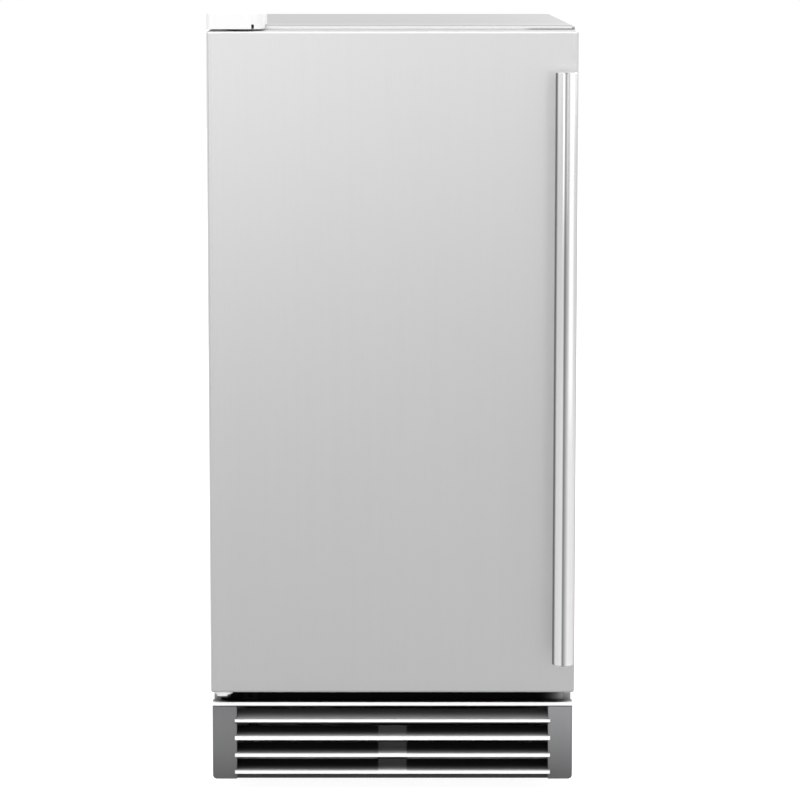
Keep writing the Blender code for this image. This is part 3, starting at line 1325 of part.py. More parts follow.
def controls():
    half, face = FASCIA_WIDTH / 2, FRONT + FASCIA_SETBACK
    top = BIN_TOP - CLEARANCE
    low, high = (-half, face, top - FASCIA_HEIGHT), (half, face + FASCIA_DEPTH, top)
    fascia = shell("control_fascia", low, high, [BACKWARD], FASCIA_WALL, grey_plastic(), FASCIA_EDGE_RADIUS)
    z = top - FASCIA_HEIGHT / 2
    collar = FASCIA_WALL + CLEARANCE
    profile = [
        (0, BUTTON_HEIGHT),
        (BUTTON_RADIUS - BUTTON_EDGE, BUTTON_HEIGHT),
        (BUTTON_RADIUS, BUTTON_HEIGHT - BUTTON_EDGE),
        (BUTTON_RADIUS, -collar),
        (BUTTON_COLLAR_RADIUS, -collar),
        (BUTTON_COLLAR_RADIUS, -collar - BUTTON_COLLAR_WALL),
        (0, -collar - BUTTON_COLLAR_WALL),
    ]
    for place, name in enumerate(("button_power", "button_clean", "button_light")):
        x = BUTTON_PITCH * (place - 1)
        hole = BUTTON_RADIUS + RUNNING_GAP
        start = (x, face - OVERRUN, z)
        cut(fascia, cylinder(name + " hole", hole, start, FASCIA_WALL + OVERRUN * 2, ALONG_Y))
        turned(name, profile, (x, face, z), white_plastic(), ALONG_Y, steps=SMALL_STEPS)


# Machine compartment


def compressor():
    """A welded can with domed ends and a seam bead, on a plate with four rubber grommets."""
    x, y, foot = COMPRESSOR_X, COMPRESSOR_Y, BAY_FLOOR + CLEARANCE
    plate = foot + COMPRESSOR_GROMMET_HEIGHT
    bottom, top = COMPRESSOR_BOTTOM, COMPRESSOR_TOP
    seam = bottom + COMPRESSOR_HEIGHT * COMPRESSOR_WAIST_SHARE
    radius = COMPRESSOR_RADIUS - COMPRESSOR_SEAM
    dome = (radius, COMPRESSOR_DOME)
    profile = [
        *arc((0, top - COMPRESSOR_DOME), dome, 1, 0, DOME_STEPS),
        (radius, seam + COMPRESSOR_SEAM),
        (COMPRESSOR_RADIUS, seam + COMPRESSOR_SEAM / 2),
        (COMPRESSOR_RADIUS, seam - COMPRESSOR_SEAM / 2),
        (radius, seam - COMPRESSOR_SEAM),
        *arc((0, bottom + COMPRESSOR_DOME), dome, 0, -1, DOME_STEPS),
    ]
    profile[0] = (0, top)
    profile[-1] = (0, bottom)
    can = turned("compressor", profile, (x, y, 0), black_paint())
    across = COMPRESSOR_RADIUS - COMPRESSOR_PLATE_SIDE_STEP
    along = COMPRESSOR_RADIUS - COMPRESSOR_PLATE_END_STEP
    low, high = (x - across, y - along, plate), (x + across, y + along, plate + COMPRESSOR_PLATE_WALL)
    join(can, box("compressor plate", low, high))
    inset = COMPRESSOR_GROMMET_RADIUS
    for side in (-1, 1):
        for end in (-1, 1):
            start = (x + side * (across - inset), y + end * (along - inset), foot)
            name = f"compressor grommet {side} {end}"
            height = COMPRESSOR_GROMMET_HEIGHT + COMPRESSOR_PLATE_WALL / 2
            radius = COMPRESSOR_GROMMET_RADIUS * GROMMET_SHARE
            join(can, cylinder(name, radius, start, height, ALONG_Z, steps=SMALL_STEPS))


def condenser():
    """Upright fins crossed by level rows of tube, which stand on the base pan."""
    left = -SIDE + CONDENSER_SIDE_GAP
    low = Vector((left, CONDENSER_FACE, BAY_FLOOR + CLEARANCE))
    high = Vector((left + CONDENSER_WIDTH, low.y + CONDENSER_DEPTH, CONDENSER_TOP))
    block = box("condenser", low, high, surface("aluminium fins", TIN, 0.4, 1))
    fin_pitch = (CONDENSER_WIDTH - CONDENSER_FIN_WALL) / (CONDENSER_FINS - 1)
    row_pitch = (CONDENSER_HEIGHT - CONDENSER_TUBE_HEIGHT) / (CONDENSER_TUBE_ROWS - 1)
    gaps = []
    for fin in range(CONDENSER_FINS - 1):
        start = left + CONDENSER_FIN_WALL + fin_pitch * fin
        stop = start + fin_pitch - CONDENSER_FIN_WALL
        for row in range(CONDENSER_TUBE_ROWS - 1):
            bottom = low.z + CONDENSER_FOOT_HEIGHT + CONDENSER_TUBE_HEIGHT + row_pitch * row
            top = bottom + row_pitch - CONDENSER_TUBE_HEIGHT
            gaps.append(((start, low.y - OVERRUN, bottom), (stop, high.y + OVERRUN, top)))
    low_gap = (left + CONDENSER_FOOT_HEIGHT, low.y - OVERRUN, low.z - OVERRUN)
    high_gap = (high.x - CONDENSER_FOOT_HEIGHT, high.y + OVERRUN, low.z + CONDENSER_FOOT_HEIGHT)
    cut(block, boxes("condenser gaps", gaps), box("condenser feet gap", low_gap, high_gap))


def fan():
    """A round mouth in a plate behind the condenser, and the fan and its motor."""
    left = -SIDE + CONDENSER_SIDE_GAP
    low = (left, SHROUD_FACE, BAY_FLOOR + CLEARANCE)
    high = (left + CONDENSER_WIDTH, SHROUD_FACE + SHROUD_WALL, CONDENSER_TOP)
    shroud = box("fan_shroud", low, high, galvanised())
    start = (FAN_X, SHROUD_FACE + SHROUD_WALL / 2, FAN_Z)
    collar = SHROUD_MOUTH_RADIUS + SHROUD_COLLAR_WALL
    length = SHROUD_COLLAR_DEPTH
    join(shroud, cylinder("fan_shroud collar", collar, start, length, ALONG_Y, steps=FINE_STEPS))
    start = (FAN_X, SHROUD_FACE - OVERRUN, FAN_Z)
    length = SHROUD_COLLAR_DEPTH + OVERRUN * 3
    cut(shroud, cylinder("fan_shroud mouth", SHROUD_MOUTH_RADIUS, start, length, ALONG_Y, steps=FINE_STEPS))

    hub_face = FAN_Y - FAN_HUB_DEPTH / 2
    look = surface("black plastic", BLACK, 0.4, 0)
    blades = cylinder("fan_blade", FAN_HUB_RADIUS, (FAN_X, hub_face, FAN_Z), FAN_HUB_DEPTH, ALONG_Y, look)
    root = FAN_HUB_RADIUS * FAN_ROOT_SHARE
    for blade in range(FAN_BLADES):
        name = f"fan_blade {blade + 1}"
        bm = bmesh.new()
        size = Vector((FAN_BLADE_WIDTH, FAN_BLADE_WALL, FAN_RADIUS - root))
        bmesh.ops.create_cube(bm, size=1, matrix=Matrix.Diagonal((*size, 1)))
        for vert in bm.verts:
            if vert.co.z < 0:
                vert.co.x *= FAN_ROOT_SHARE
        bmesh.ops.rotate(bm, verts=bm.verts, matrix=Matrix.Rotation(FAN_BLADE_PITCH, 3, "Z"))
        bmesh.ops.translate(bm, verts=bm.verts, vec=(0, 0, (FAN_RADIUS + root) / 2))
        angle = 2 * math.pi * blade / FAN_BLADES
        bmesh.ops.rotate(bm, verts=bm.verts, matrix=Matrix.Rotation(angle, 3, "Y"))
        join(blades, placed(name, mesh_from(bm, name), None, (FAN_X, FAN_Y, FAN_Z)))
    bore = FAN_SHAFT_RADIUS + RUNNING_GAP
    rear = FAN_Y + FAN_HUB_DEPTH / 2
    start = (FAN_X, rear - FAN_SHAFT_SEAT - CLEARANCE, FAN_Z)
    length = FAN_SHAFT_SEAT + OVERRUN
    cut(blades, cylinder("fan_blade bore", bore, start, length, ALONG_Y, steps=SMALL_STEPS))

    face = rear + FAN_MOTOR_GAP
    start = (FAN_X, face, FAN_Z)
    motor = cylinder("fan_motor", FAN_MOTOR_RADIUS, start, FAN_MOTOR_DEPTH, ALONG_Y, black_paint())
    bevel(motor, FAN_BRACKET_WALL)
    start = (FAN_X, rear - FAN_SHAFT_SEAT, FAN_Z)
    length = FAN_SHAFT_SEAT + FAN_MOTOR_GAP + OVERRUN
    join(motor, cylinder("fan_motor shaft", FAN_SHAFT_RADIUS, start, length, ALONG_Y, steps=SMALL_STEPS))
    middle, half, floor = face + FAN_MOTOR_DEPTH / 2, FAN_BRACKET_WIDTH / 2, BAY_FLOOR + CLEARANCE
    low = (FAN_X - half, middle - FAN_BRACKET_WALL / 2, floor + FAN_BRACKET_WALL / 2)
    join(motor, box("fan_motor post", low, (FAN_X + half, middle + FAN_BRACKET_WALL / 2, FAN_Z)))
    low = (FAN_X - half, middle - FAN_BRACKET_FOOT / 2, floor)
    high = (FAN_X + half, middle + FAN_BRACKET_FOOT / 2, floor + FAN_BRACKET_WALL)
    join(motor, box("fan_motor foot", low, high))
    pivot("fan_axis", (FAN_X, FAN_Y, FAN_Z), blades)


def compartment_cover():
    """The recessed rear cover, with vent slots behind the fan, and the fittings that it carries."""
    side = PANEL_INSIDE - BASE_WALL - CLEARANCE
    low = (-side, COVER_FACE - COVER_FOLD, BAY_FLOOR + CLEARANCE)
    high = (side, COVER_FACE, BAY_TOP - CLEARANCE * 2 - PANEL_WALL)
    cover = shell("machine_cover", low, high, [FORWARD], COVER_WALL, galvanised())
    slots = []
    for row in range(COVER_SLOT_COUNT):
        top = BAY_TOP - COVER_SLOT_DROP - COVER_SLOT_PITCH * row
        half = COVER_SLOT_WIDTH / 2
        near = (FAN_X - half, COVER_FACE - COVER_WALL - OVERRUN, top - COVER_SLOT_HEIGHT)
        slots.append((near, (FAN_X + half, COVER_FACE + OVERRUN, top)))
    cut(cover, boxes("machine_cover slots", slots))

    inside = COVER_FACE - COVER_WALL - CLEARANCE
    holes = []
    valve_z = BAY_TOP - VALVE_DROP
    half, up = VALVE_WIDTH / 2, VALVE_HEIGHT / 2
    low = (VALVE_X - half, inside - VALVE_DEPTH, valve_z - up)
    valve = box("water_inlet_valve", low, (VALVE_X + half, inside, valve_z + up), white_plastic())
    start = (VALVE_X, inside - VALVE_DEPTH / 2, valve_z + up / 2)
    height = VALVE_COIL_HEIGHT + up / 2
    join(valve, cylinder("water_inlet_valve coil", VALVE_COIL_RADIUS, start, height, ALONG_Z))
    start, length = (VALVE_X, inside - OVERRUN, valve_z), VALVE_STUB_LENGTH + OVERRUN
    join(valve, cylinder("water_inlet_valve stub", VALVE_STUB_RADIUS, start, length, ALONG_Y))
    holes.append(("valve", VALVE_X, valve_z, VALVE_STUB_RADIUS))
    start = (VALVE_X, inside + VALVE_STUB_LENGTH - VALVE_STUB_BORE_DEPTH, valve_z)
    length, bore = VALVE_STUB_BORE_DEPTH + OVERRUN, VALVE_STUB_RADIUS - VALVE_STUB_WALL
    cut(valve, cylinder("water_inlet_valve bore", bore, start, length, ALONG_Y))

    box_top = BAY_TOP - BOX_DROP
    half = BOX_WIDTH / 2
    low = (BOX_X - half, inside - BOX_DEPTH, box_top - BOX_HEIGHT)
    case = box("electrical_box", low, (BOX_X + half, inside, box_top), grey_plastic())
    bevel(case, BOX_EDGE_RADIUS)
    gland_z = box_top - BOX_HEIGHT / 2
    start = (BOX_X, inside - OVERRUN, gland_z)
    join(case, cylinder("electrical_box gland", GLAND_RADIUS, start, GLAND_LENGTH + OVERRUN, ALONG_Y))
    start = (BOX_X, inside - OVERRUN, gland_z)
    cut(case, cylinder("electrical_box bore", GLAND_BORE_RADIUS, start, GLAND_LENGTH + OVERRUN * 2, ALONG_Y))
    holes.append(("gland", BOX_X, gland_z, GLAND_RADIUS))
    holes.append(("drain hose", 0, FOAM_BOTTOM - DRAIN_HOSE_DROP, DRAIN_HOSE_RADIUS))
    for name, x, z, radius in holes:
        start = (x, COVER_FACE - COVER_WALL - OVERRUN, z)
        length = COVER_WALL + OVERRUN * 2
        cut(cover, cylinder(f"machine_cover {name} hole", radius + CLEARANCE, start, length, ALONG_Y))

    # The drier hangs from the cover in a clip
    y, low = inside - DRIER_RADIUS - DRIER_CLIP_GAP, (BAY_FLOOR + BAY_TOP) / 2
    high = low + DRIER_LENGTH
    profile = [
        (0, high + DRIER_NECK_LENGTH),
        (DRIER_NECK_RADIUS, high + DRIER_NECK_LENGTH),
        (DRIER_NECK_RADIUS, high),
        (DRIER_RADIUS, high - DRIER_NECK_RADIUS),
        (DRIER_RADIUS, low + DRIER_NECK_RADIUS),
        (DRIER_NECK_RADIUS, low),
        (DRIER_NECK_RADIUS, low - DRIER_NECK_LENGTH),
        (0, low - DRIER_NECK_LENGTH),
    ]
    drier = turned("filter_drier", profile, (DRIER_PLACE, y, 0), copper(), steps=SMALL_STEPS)
    middle, half = (low + high) / 2, DRIER_CLIP_HEIGHT / 2
    low = (DRIER_PLACE - half, y, middle - half)
    join(drier, box("filter_drier clip", low, (DRIER_PLACE + half, inside, middle + half)))


def pipes():
    """The gas lines, and the hose that takes melt water to the rear."""
    side = COMPRESSOR_X - COMPRESSOR_RADIUS - CLEARANCE
    start = Vector((side + COMPRESSOR_SEAM, COMPRESSOR_Y, BAY_FLOOR + COMPRESSOR_HEIGHT * LINE_PLACE_SHARE))
    right = -SIDE + CONDENSER_SIDE_GAP + CONDENSER_WIDTH
    height = CONDENSER_TOP - CONDENSER_TUBE_HEIGHT * 2
    end = Vector((right + CLEARANCE, CONDENSER_FACE + CONDENSER_DEPTH / 2, height))
    out = Vector((LINE_RADIUS * 2, 0, 0))
    route = [start, start - out, between(start - out, end + out, LINE_BEND_SHARE), end + out, end]
    route[2].y += LINE_RADIUS * 2
    tube("discharge_line", smooth_route(route, BEND_STEPS + 1), LINE_RADIUS, copper())

    start = Vector((COMPRESSOR_X, COMPRESSOR_Y, COMPRESSOR_TOP + CLEARANCE))
    end = Vector((SUCTION_X, SUCTION_Y, BAY_TOP - CLEARANCE))
    up = Vector((0, 0, SUCTION_RADIUS * 3))
    route = [start, start + up, end - up, end]
    tube("suction_line", smooth_route(route, BEND_STEPS + 1), SUCTION_RADIUS, copper())

    start = Vector((0, DRAIN_Y, FOAM_BOTTOM - DRAIN_SPIGOT - CLEARANCE))
    low = FOAM_BOTTOM - DRAIN_HOSE_DROP
    bend = start.z - low - DRAIN_HOSE_RADIUS
    end = Vector((0, REAR - DRAIN_HOSE_RADIUS, low))
    route = [start]
    for y, z in arc((DRAIN_Y + bend, low + bend), bend, 2, 3, BEND_STEPS * 2):
        route.append(Vector((0, y, z)))
    tube("drain_hose", route + [end], DRAIN_HOSE_RADIUS, grey_plastic())


cabinet()
for foot_name, (foot_x, foot_y) in FOOT_PLACES.items():
    levelling_foot(foot_name, foot_x, foot_y)
bin_and_foam()
bin_fittings()
scoop()
hinges()
hinge_cap()
kick_grille()
door()
evaporator()
trough_and_pump()
controls()
compressor()
condenser()
fan()
compartment_cover()
pipes()
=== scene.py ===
"""Looks of the outdoor ice maker: materials, small fittings, lights and camera.

All lengths are in metres, in the frame's axes: X to the right, Y to the rear and Z up.
"""

import math

import bmesh
import bpy
from mathutils import Matrix, Vector


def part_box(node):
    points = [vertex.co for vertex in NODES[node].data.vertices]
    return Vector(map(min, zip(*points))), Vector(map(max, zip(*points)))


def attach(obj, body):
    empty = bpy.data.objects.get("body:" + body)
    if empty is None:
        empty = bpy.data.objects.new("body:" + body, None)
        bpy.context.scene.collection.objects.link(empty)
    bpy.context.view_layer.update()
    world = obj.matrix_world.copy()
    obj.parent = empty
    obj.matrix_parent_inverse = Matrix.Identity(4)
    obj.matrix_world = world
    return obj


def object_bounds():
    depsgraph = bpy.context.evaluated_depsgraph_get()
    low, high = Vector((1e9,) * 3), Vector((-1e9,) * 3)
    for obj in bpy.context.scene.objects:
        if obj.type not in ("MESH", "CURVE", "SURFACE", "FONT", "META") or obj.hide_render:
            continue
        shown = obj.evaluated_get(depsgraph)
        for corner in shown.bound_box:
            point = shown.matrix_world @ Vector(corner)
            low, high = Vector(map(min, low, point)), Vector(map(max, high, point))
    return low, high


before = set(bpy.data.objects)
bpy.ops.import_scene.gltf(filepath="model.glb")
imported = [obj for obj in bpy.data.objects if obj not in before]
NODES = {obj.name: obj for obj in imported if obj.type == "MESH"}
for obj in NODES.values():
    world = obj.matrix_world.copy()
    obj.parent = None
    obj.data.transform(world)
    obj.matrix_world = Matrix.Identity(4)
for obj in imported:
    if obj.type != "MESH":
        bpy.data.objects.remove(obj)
cad_low, cad_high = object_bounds()
scene = bpy.context.scene


# Materials

LIGHTEST = 0.95  # the most that shading makes of a colour's channel
SOFT_LIMIT = 0.0002  # half the width of a limit between two tones


class Look:
    """A material whose nodes are added one after another."""

    def __init__(self, name, colour, roughness, metallic=0.0, specular=0.5):
        self.material = bpy.data.materials.new(name)
        self.material.use_nodes = True
        self.tree = self.material.node_tree
        self.shader = self.tree.nodes["Principled BSDF"]
        self.colour = colour
        self.set(Base_Color=(*colour, 1), Roughness=roughness, Metallic=metallic)
        self.set(Specular_IOR_Level=specular)
        self.place = self.node("TexCoord").outputs["Object"]
        self.normal = None

    def set(self, **values):
        """Puts constants on the shader's sockets, whose names have underscores for spaces here."""
        for key, value in values.items():
            self.shader.inputs[key.replace("_", " ")].default_value = value
        return self

    def drive(self, socket, value):
        """Links a value to one of the shader's sockets."""
        self.tree.links.new(value, self.shader.inputs[socket])
        return self

    def node(self, kind, inputs=None, **settings):
        """Adds a node. Each of its inputs is a constant or another node's output."""
        made = self.tree.nodes.new("ShaderNode" + kind)
        for key, value in settings.items():
            setattr(made, key, value)
        for key, value in (inputs or {}).items():
            if isinstance(value, bpy.types.NodeSocket):
                self.tree.links.new(value, made.inputs[key])
            else:
                made.inputs[key].default_value = value
        return made

    def stretched(self, scale):
        """The place in space, scaled along each axis, for grain that runs one way."""
        return self.node("Mapping", {"Vector": self.place, "Scale": scale}).outputs["Vector"]

    def noise(self, scale, detail=3.0, roughness=0.55):
        """Soft noise, scaled along each axis."""
        inputs = {"Vector": self.stretched(scale), "Scale": 1.0}
        inputs.update({"Detail": detail, "Roughness": roughness})
        return self.node("TexNoise", inputs).outputs["Fac"]

    def cells(self, scale):
        """Cells like crystals: a colour for each, and the distance to its middle."""
        made = self.node("TexVoronoi", {"Vector": self.stretched(scale), "Scale": 1.0})
        return made.outputs["Color"], made.outputs["Distance"]

    def axis(self, letter):
        """One coordinate of the place in space."""
        return self.node("SeparateXYZ", {"Vector": self.place}).outputs[letter]

    def math(self, operation, first, second=0):
        """The result of an operation on constants or other nodes' outputs."""
        return self.node("Math", {0: first, 1: second}, operation=operation).outputs["Value"]

    def times(self, first, *others):
        """The product of two or more values."""
        for other in others:
            first = self.math("MULTIPLY", first, other)
        return first

    def inverse(self, value):
        """What is left of 1."""
        return self.math("SUBTRACT", 1, value)

    def off_centre(self):
        """The distance from the middle of the machine's width."""
        return self.math("ABSOLUTE", self.axis("X"))

    def ranged(self, value, low, high, start=0.3, stop=0.7):
        """Goes from low to high as a value goes from start to stop."""
        inputs = {"Value": value, "From Min": start, "From Max": stop}
        inputs.update({"To Min": low, "To Max": high})
        return self.node("MapRange", inputs).outputs["Result"]

    def ramp(self, letter, low, high, start, stop):
        """Goes from low to high as a coordinate goes from start to stop."""
        return self.ranged(self.axis(letter), low, high, start, stop)

    def below(self, letter, limit):
        """1 where a coordinate is below a limit, and 0 above it."""
        return self.ramp(letter, 1, 0, limit - SOFT_LIMIT, limit + SOFT_LIMIT)

    def tint(self, value, low, high):
        """The base colour goes from one to another as a value goes from 0 to 1."""
        inputs = {"Factor": value, "A": (*low, 1), "B": (*high, 1)}
        mixed = self.node("Mix", inputs, data_type="RGBA")
        return self.drive("Base Color", mixed.outputs["Result"])

    def shade(self, value, spread):
        """The base colour darkens and lightens by a share with a value."""
        dark = [channel * (1 - spread) for channel in self.colour]
        light = [min(channel * (1 + spread), LIGHTEST) for channel in self.colour]
        return self.tint(value, dark, light)

    def darken(self, value, share):
        """Takes a share off the base colour as a value goes from 0 to 1."""
        before = self.shader.inputs["Base Color"].links[0].from_socket
        inputs = {"Factor": value, "A": before, "B": (1 - share, 1 - share, 1 - share, 1)}
        mixed = self.node("Mix", inputs, data_type="RGBA", blend_type="MULTIPLY")
        return self.drive("Base Color", mixed.outputs["Result"])

    def rough(self, value, low, high):
        """The roughness goes from one to another with a value."""
        return self.drive("Roughness", self.ranged(value, low, high, start=0.1, stop=0.9))

    def bump(self, value, depth, strength=1.0):
        """Adds relief on top of what is there already."""
        inputs = {"Height": value, "Distance": depth, "Strength": strength}
        if self.normal is not None:
            inputs["Normal"] = self.normal
        self.normal = self.node("Bump", inputs).outputs["Normal"]
        return self.drive("Normal", self.normal)


# What the fine scratches, their bundles and the whole sheet add to brushed steel's tone
SCRATCH_SHARE, BUNDLE_SHARE, SHEET_SHARE = 0.5, 0.3, 0.2
BUNDLE_WIDTH = 14  # in scratches


def brushed(name, colour, roughness, grain, spread):
    """Brushed steel: long fine scratches, and a slow change of tone across the sheet."""
    look = Look(name, colour, roughness, 1.0)
    fine = look.noise(grain, 4.0)
    broad = look.noise(tuple(scale / BUNDLE_WIDTH for scale in grain), 3.0)
    slow = look.noise((3.1, 2.7, 2.3), 2.0)
    mixed = look.math("ADD", look.times(fine, SCRATCH_SHARE), look.times(broad, BUNDLE_SHARE))
    mixed = look.math("ADD", mixed, look.times(slow, SHEET_SHARE))
    look.shade(look.ranged(mixed, 0, 1, start=0.38, stop=0.62), spread)
    look.rough(mixed, roughness * 0.88, roughness * 1.12)
    return look.bump(fine, depth=0.00002, strength=0.35)


def paint(name, colour, roughness, grain=900.0, depth=0.00004):
    """Powder coat: a fine orange peel and a faint change of tone."""
    look = Look(name, colour, roughness)
    peel, slow = look.noise((grain, grain, grain), 2.0), look.noise((9, 9, 9), 3.0)
    look.shade(look.ranged(slow, 0, 1), spread=0.06)
    look.rough(slow, roughness - 0.04, roughness + 0.05)
    return look.bump(peel, depth, strength=0.6)


def moulded(name, colour, roughness, grain=1400.0, depth=0.00003, spread=0.025):
    """Moulded plastic: a fine spark-eroded grain, and a slow change of tone and gloss."""
    look = Look(name, colour, roughness, specular=0.45)
    fine, slow = look.noise((grain, grain, grain), 2.0), look.noise((6, 6, 6), 1.0)
    look.shade(look.ranged(slow, 0, 1, start=0.1, stop=0.9), spread)
    look.rough(slow, roughness - 0.03, roughness + 0.04)
    return look.bump(fine, depth, strength=0.5)


# The sheets of the door and the cabinet. Each grain is fine across its scratches and long along
# them, and a sheet's spread is how far its tone strays
UPRIGHT_GRAIN, LEVEL_GRAIN = (2600, 2600, 26), (26, 2600, 2600)
SHEET_SPREAD = 0.015
door_steel = brushed("door_stainless", (0.85, 0.857, 0.85), 0.37, UPRIGHT_GRAIN, 0.012)
side_steel = brushed("cabinet_stainless", (0.60, 0.61, 0.605), 0.36, UPRIGHT_GRAIN, SHEET_SPREAD)
top_steel = brushed("top_stainless", (0.70, 0.707, 0.707), 0.36, LEVEL_GRAIN, SHEET_SPREAD)

# The turned-in edge of the door's sheet shows as one faint line inside each side
TURNED_EDGE, LINE_REACH, LINE_DEPTH = 0.1836, 0.0011, 0.00006
from_line = door_steel.math("SUBTRACT", door_steel.off_centre(), TURNED_EDGE)
from_line = door_steel.math("ABSOLUTE", from_line)
door_steel.bump(door_steel.ranged(from_line, 0, 1, 0.0, LINE_REACH), LINE_DEPTH)

# The door is darker than its raw steel, but for its front left edge: a painted highlight
HIGHLIGHT_EDGE_RIGHT, HIGHLIGHT_EDGE_REAR = -0.1878, -0.2662
painted_highlight_edge = door_steel.times(door_steel.below("X", HIGHLIGHT_EDGE_RIGHT), door_steel.below("Y", HIGHLIGHT_EDGE_REAR))
door_steel.darken(door_steel.inverse(painted_highlight_edge), share=0.265)

# The side panels' front flanges carry painted shade below the door, but for their outer edges
FLANGE_DARK, FLANGE_LIGHT = 0.1745, 0.1805
FLANGE_SHADE_TOP, FLANGE_REAR = 0.1125, -0.2185
painted_shade_under_door = side_steel.times(
    side_steel.ranged(side_steel.off_centre(), 1, 0, FLANGE_DARK, FLANGE_LIGHT),
    side_steel.below("Z", FLANGE_SHADE_TOP),
    side_steel.below("Y", FLANGE_REAR),
)
side_steel.darken(painted_shade_under_door, share=0.97)

# Painted light and shade on the top panel: its front flange is brightest, but for its upper edge
# and its right end. The bend above it comes next, and behind the bend the sheet darkens slowly
FLANGE_FACE, FLANGE_BRIGHT_TOP, FLANGE_TOP = -0.2178, 0.7977, 0.7998
FLANGE_END_START, FLANGE_END_STOP = 0.134, 0.146
BEND_FRONT, BEND_REAR, SLOPE_REAR = -0.2182, -0.2165, -0.1000
facing_front = top_steel.below("Y", FLANGE_FACE)
bright_flange = top_steel.times(
    facing_front,
    top_steel.below("Z", FLANGE_BRIGHT_TOP),
    top_steel.ramp("X", 1, 0, FLANGE_END_START, FLANGE_END_STOP),
)
elsewhere = top_steel.inverse(bright_flange)
whole_flange = top_steel.times(facing_front, top_steel.below("Z", FLANGE_TOP))
slope = top_steel.times(
    top_steel.ramp("Y", 0.2, 1, BEND_REAR, SLOPE_REAR),
    top_steel.ramp("Y", 0, 1, BEND_FRONT, BEND_REAR),
)
off_the_bend = top_steel.math("MAXIMUM", whole_flange, slope)
top_steel.darken(top_steel.times(off_the_bend, elsewhere), share=0.17)
top_steel.darken(elsewhere, share=0.24)


def kick_stainless(name):
    """The grille's pale steel, which mirrors less than the door's."""
    look = brushed(name, (0.95, 0.955, 0.95), 0.33, (30, 2600, 2600), SHEET_SPREAD)
    return look.set(Metallic=0.25)


# Painted shade: the louvres darken fast behind their lips, a little less at the middle bracket
LIP_FRONT, LOUVRE_REAR, LOUVRE_FALL = -0.2466, -0.2260, 4.9
BRACKET_SHARE, BRACKET_SOFT, BRACKET_TOP = 0.08, 0.0012, 0.070
kick_steel = kick_stainless("kick_stainless")
kick_off_centre = kick_steel.off_centre()
bracket_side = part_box("kick_centre_bracket")[1].x
at_bracket = kick_steel.times(
    kick_steel.ranged(kick_off_centre, BRACKET_SHARE, 0, bracket_side - BRACKET_SOFT, bracket_side),
    kick_steel.below("Z", BRACKET_TOP),
)
louvre_light = kick_steel.ramp("Y", 1, 0, LIP_FRONT, LOUVRE_REAR)
louvre_shade = kick_steel.inverse(kick_steel.math("POWER", louvre_light, LOUVRE_FALL))
kick_steel.darken(kick_steel.times(louvre_shade, kick_steel.inverse(at_bracket)), share=0.992)

# The top rail's upper face carries painted shade behind its front edge, fading out at both ends
CROWN_FOOT, CROWN_TOP, CROWN_FRONT, CROWN_REAR = 0.0951, 0.0954, -0.2478, -0.2462
CROWN_END_START, CROWN_END_STOP = 0.172, 0.187
crown = kick_steel.times(
    kick_steel.ramp("Z", 0, 1, CROWN_FOOT, CROWN_TOP),
    kick_steel.ranged(kick_off_centre, 1, 0, CROWN_END_START, CROWN_END_STOP),
    kick_steel.ramp("Y", 0, 1, CROWN_FRONT, CROWN_REAR),
)
kick_steel.darken(crown, share=0.93)

# The bottom rail carries painted shade below its lip
BOTTOM_LIP_FOOT = 0.0180
kick_steel.darken(kick_steel.below("Z", BOTTOM_LIP_FOOT), share=0.96)

# Painted shade dims the upper edges of the third and fourth lips, and less so at the bracket
DIM_LIP_TOPS, BRACKET_GAIN = (0.0411, 0.0230), 7
DIM_BELOW, DIM_ABOVE, DIM_END = 0.0018, 0.0020, 0.0050
beside_bracket = kick_steel.inverse(kick_steel.times(at_bracket, BRACKET_GAIN))
for lip_top in DIM_LIP_TOPS:
    dim_edge = kick_steel.times(
        kick_steel.ramp("Z", 0, 1, lip_top - DIM_BELOW, lip_top),
        kick_steel.ramp("Z", 1, 0, lip_top + DIM_ABOVE, lip_top + DIM_END),
        beside_bracket,
    )
    kick_steel.darken(dim_edge, share=0.6)

# The top rail's lower edge carries painted shade
RAIL_EDGE_FOOT, RAIL_EDGE_FULL, RAIL_EDGE_TOP = 0.0900, 0.0905, 0.0920
rail_edge = kick_steel.times(
    kick_steel.ramp("Z", 0, 1, RAIL_EDGE_FOOT, RAIL_EDGE_FULL),
    kick_steel.below("Z", RAIL_EDGE_TOP),
)
kick_steel.darken(rail_edge, share=0.97)

# The first louvre has a lit copy of the grille's steel with painted light: it darkens more slowly,
# and its lip's lower edge carries painted shade
FIRST_LIP_FRONT, FIRST_FALL, FIRST_EDGE_TOP = -0.2445, 2.7, 0.0742
first_steel = kick_stainless("first_louvre_stainless")
first_light = first_steel.ramp("Y", 1, 0, FIRST_LIP_FRONT, LOUVRE_REAR)
first_shade = first_steel.inverse(first_steel.math("POWER", first_light, FIRST_FALL))
first_steel.darken(first_shade, share=0.965)
first_steel.darken(first_steel.below("Z", FIRST_EDGE_TOP), share=0.97)

bracket_steel = brushed("bracket_steel", (0.05, 0.052, 0.052), 0.45, (900, 900, 60), 0.03)

# Painted shade: the grille's ends darken towards the floor, and the left one also towards its top
END_FOOT, END_MIDDLE = 0.018, 0.085
kick_end_grey_and_shade = moulded("kick_end_grey", (0.225, 0.228, 0.231), 0.33, 1200, 0.00002, 0.03)
end_foot = kick_end_grey_and_shade.ramp("Z", 1, 0, END_FOOT, END_MIDDLE)
kick_end_grey_and_shade.darken(end_foot, share=0.64)
left_top = kick_end_grey_and_shade.times(kick_end_grey_and_shade.inverse(end_foot), kick_end_grey_and_shade.below("X", 0))
kick_end_grey_and_shade.darken(left_top, share=0.36)
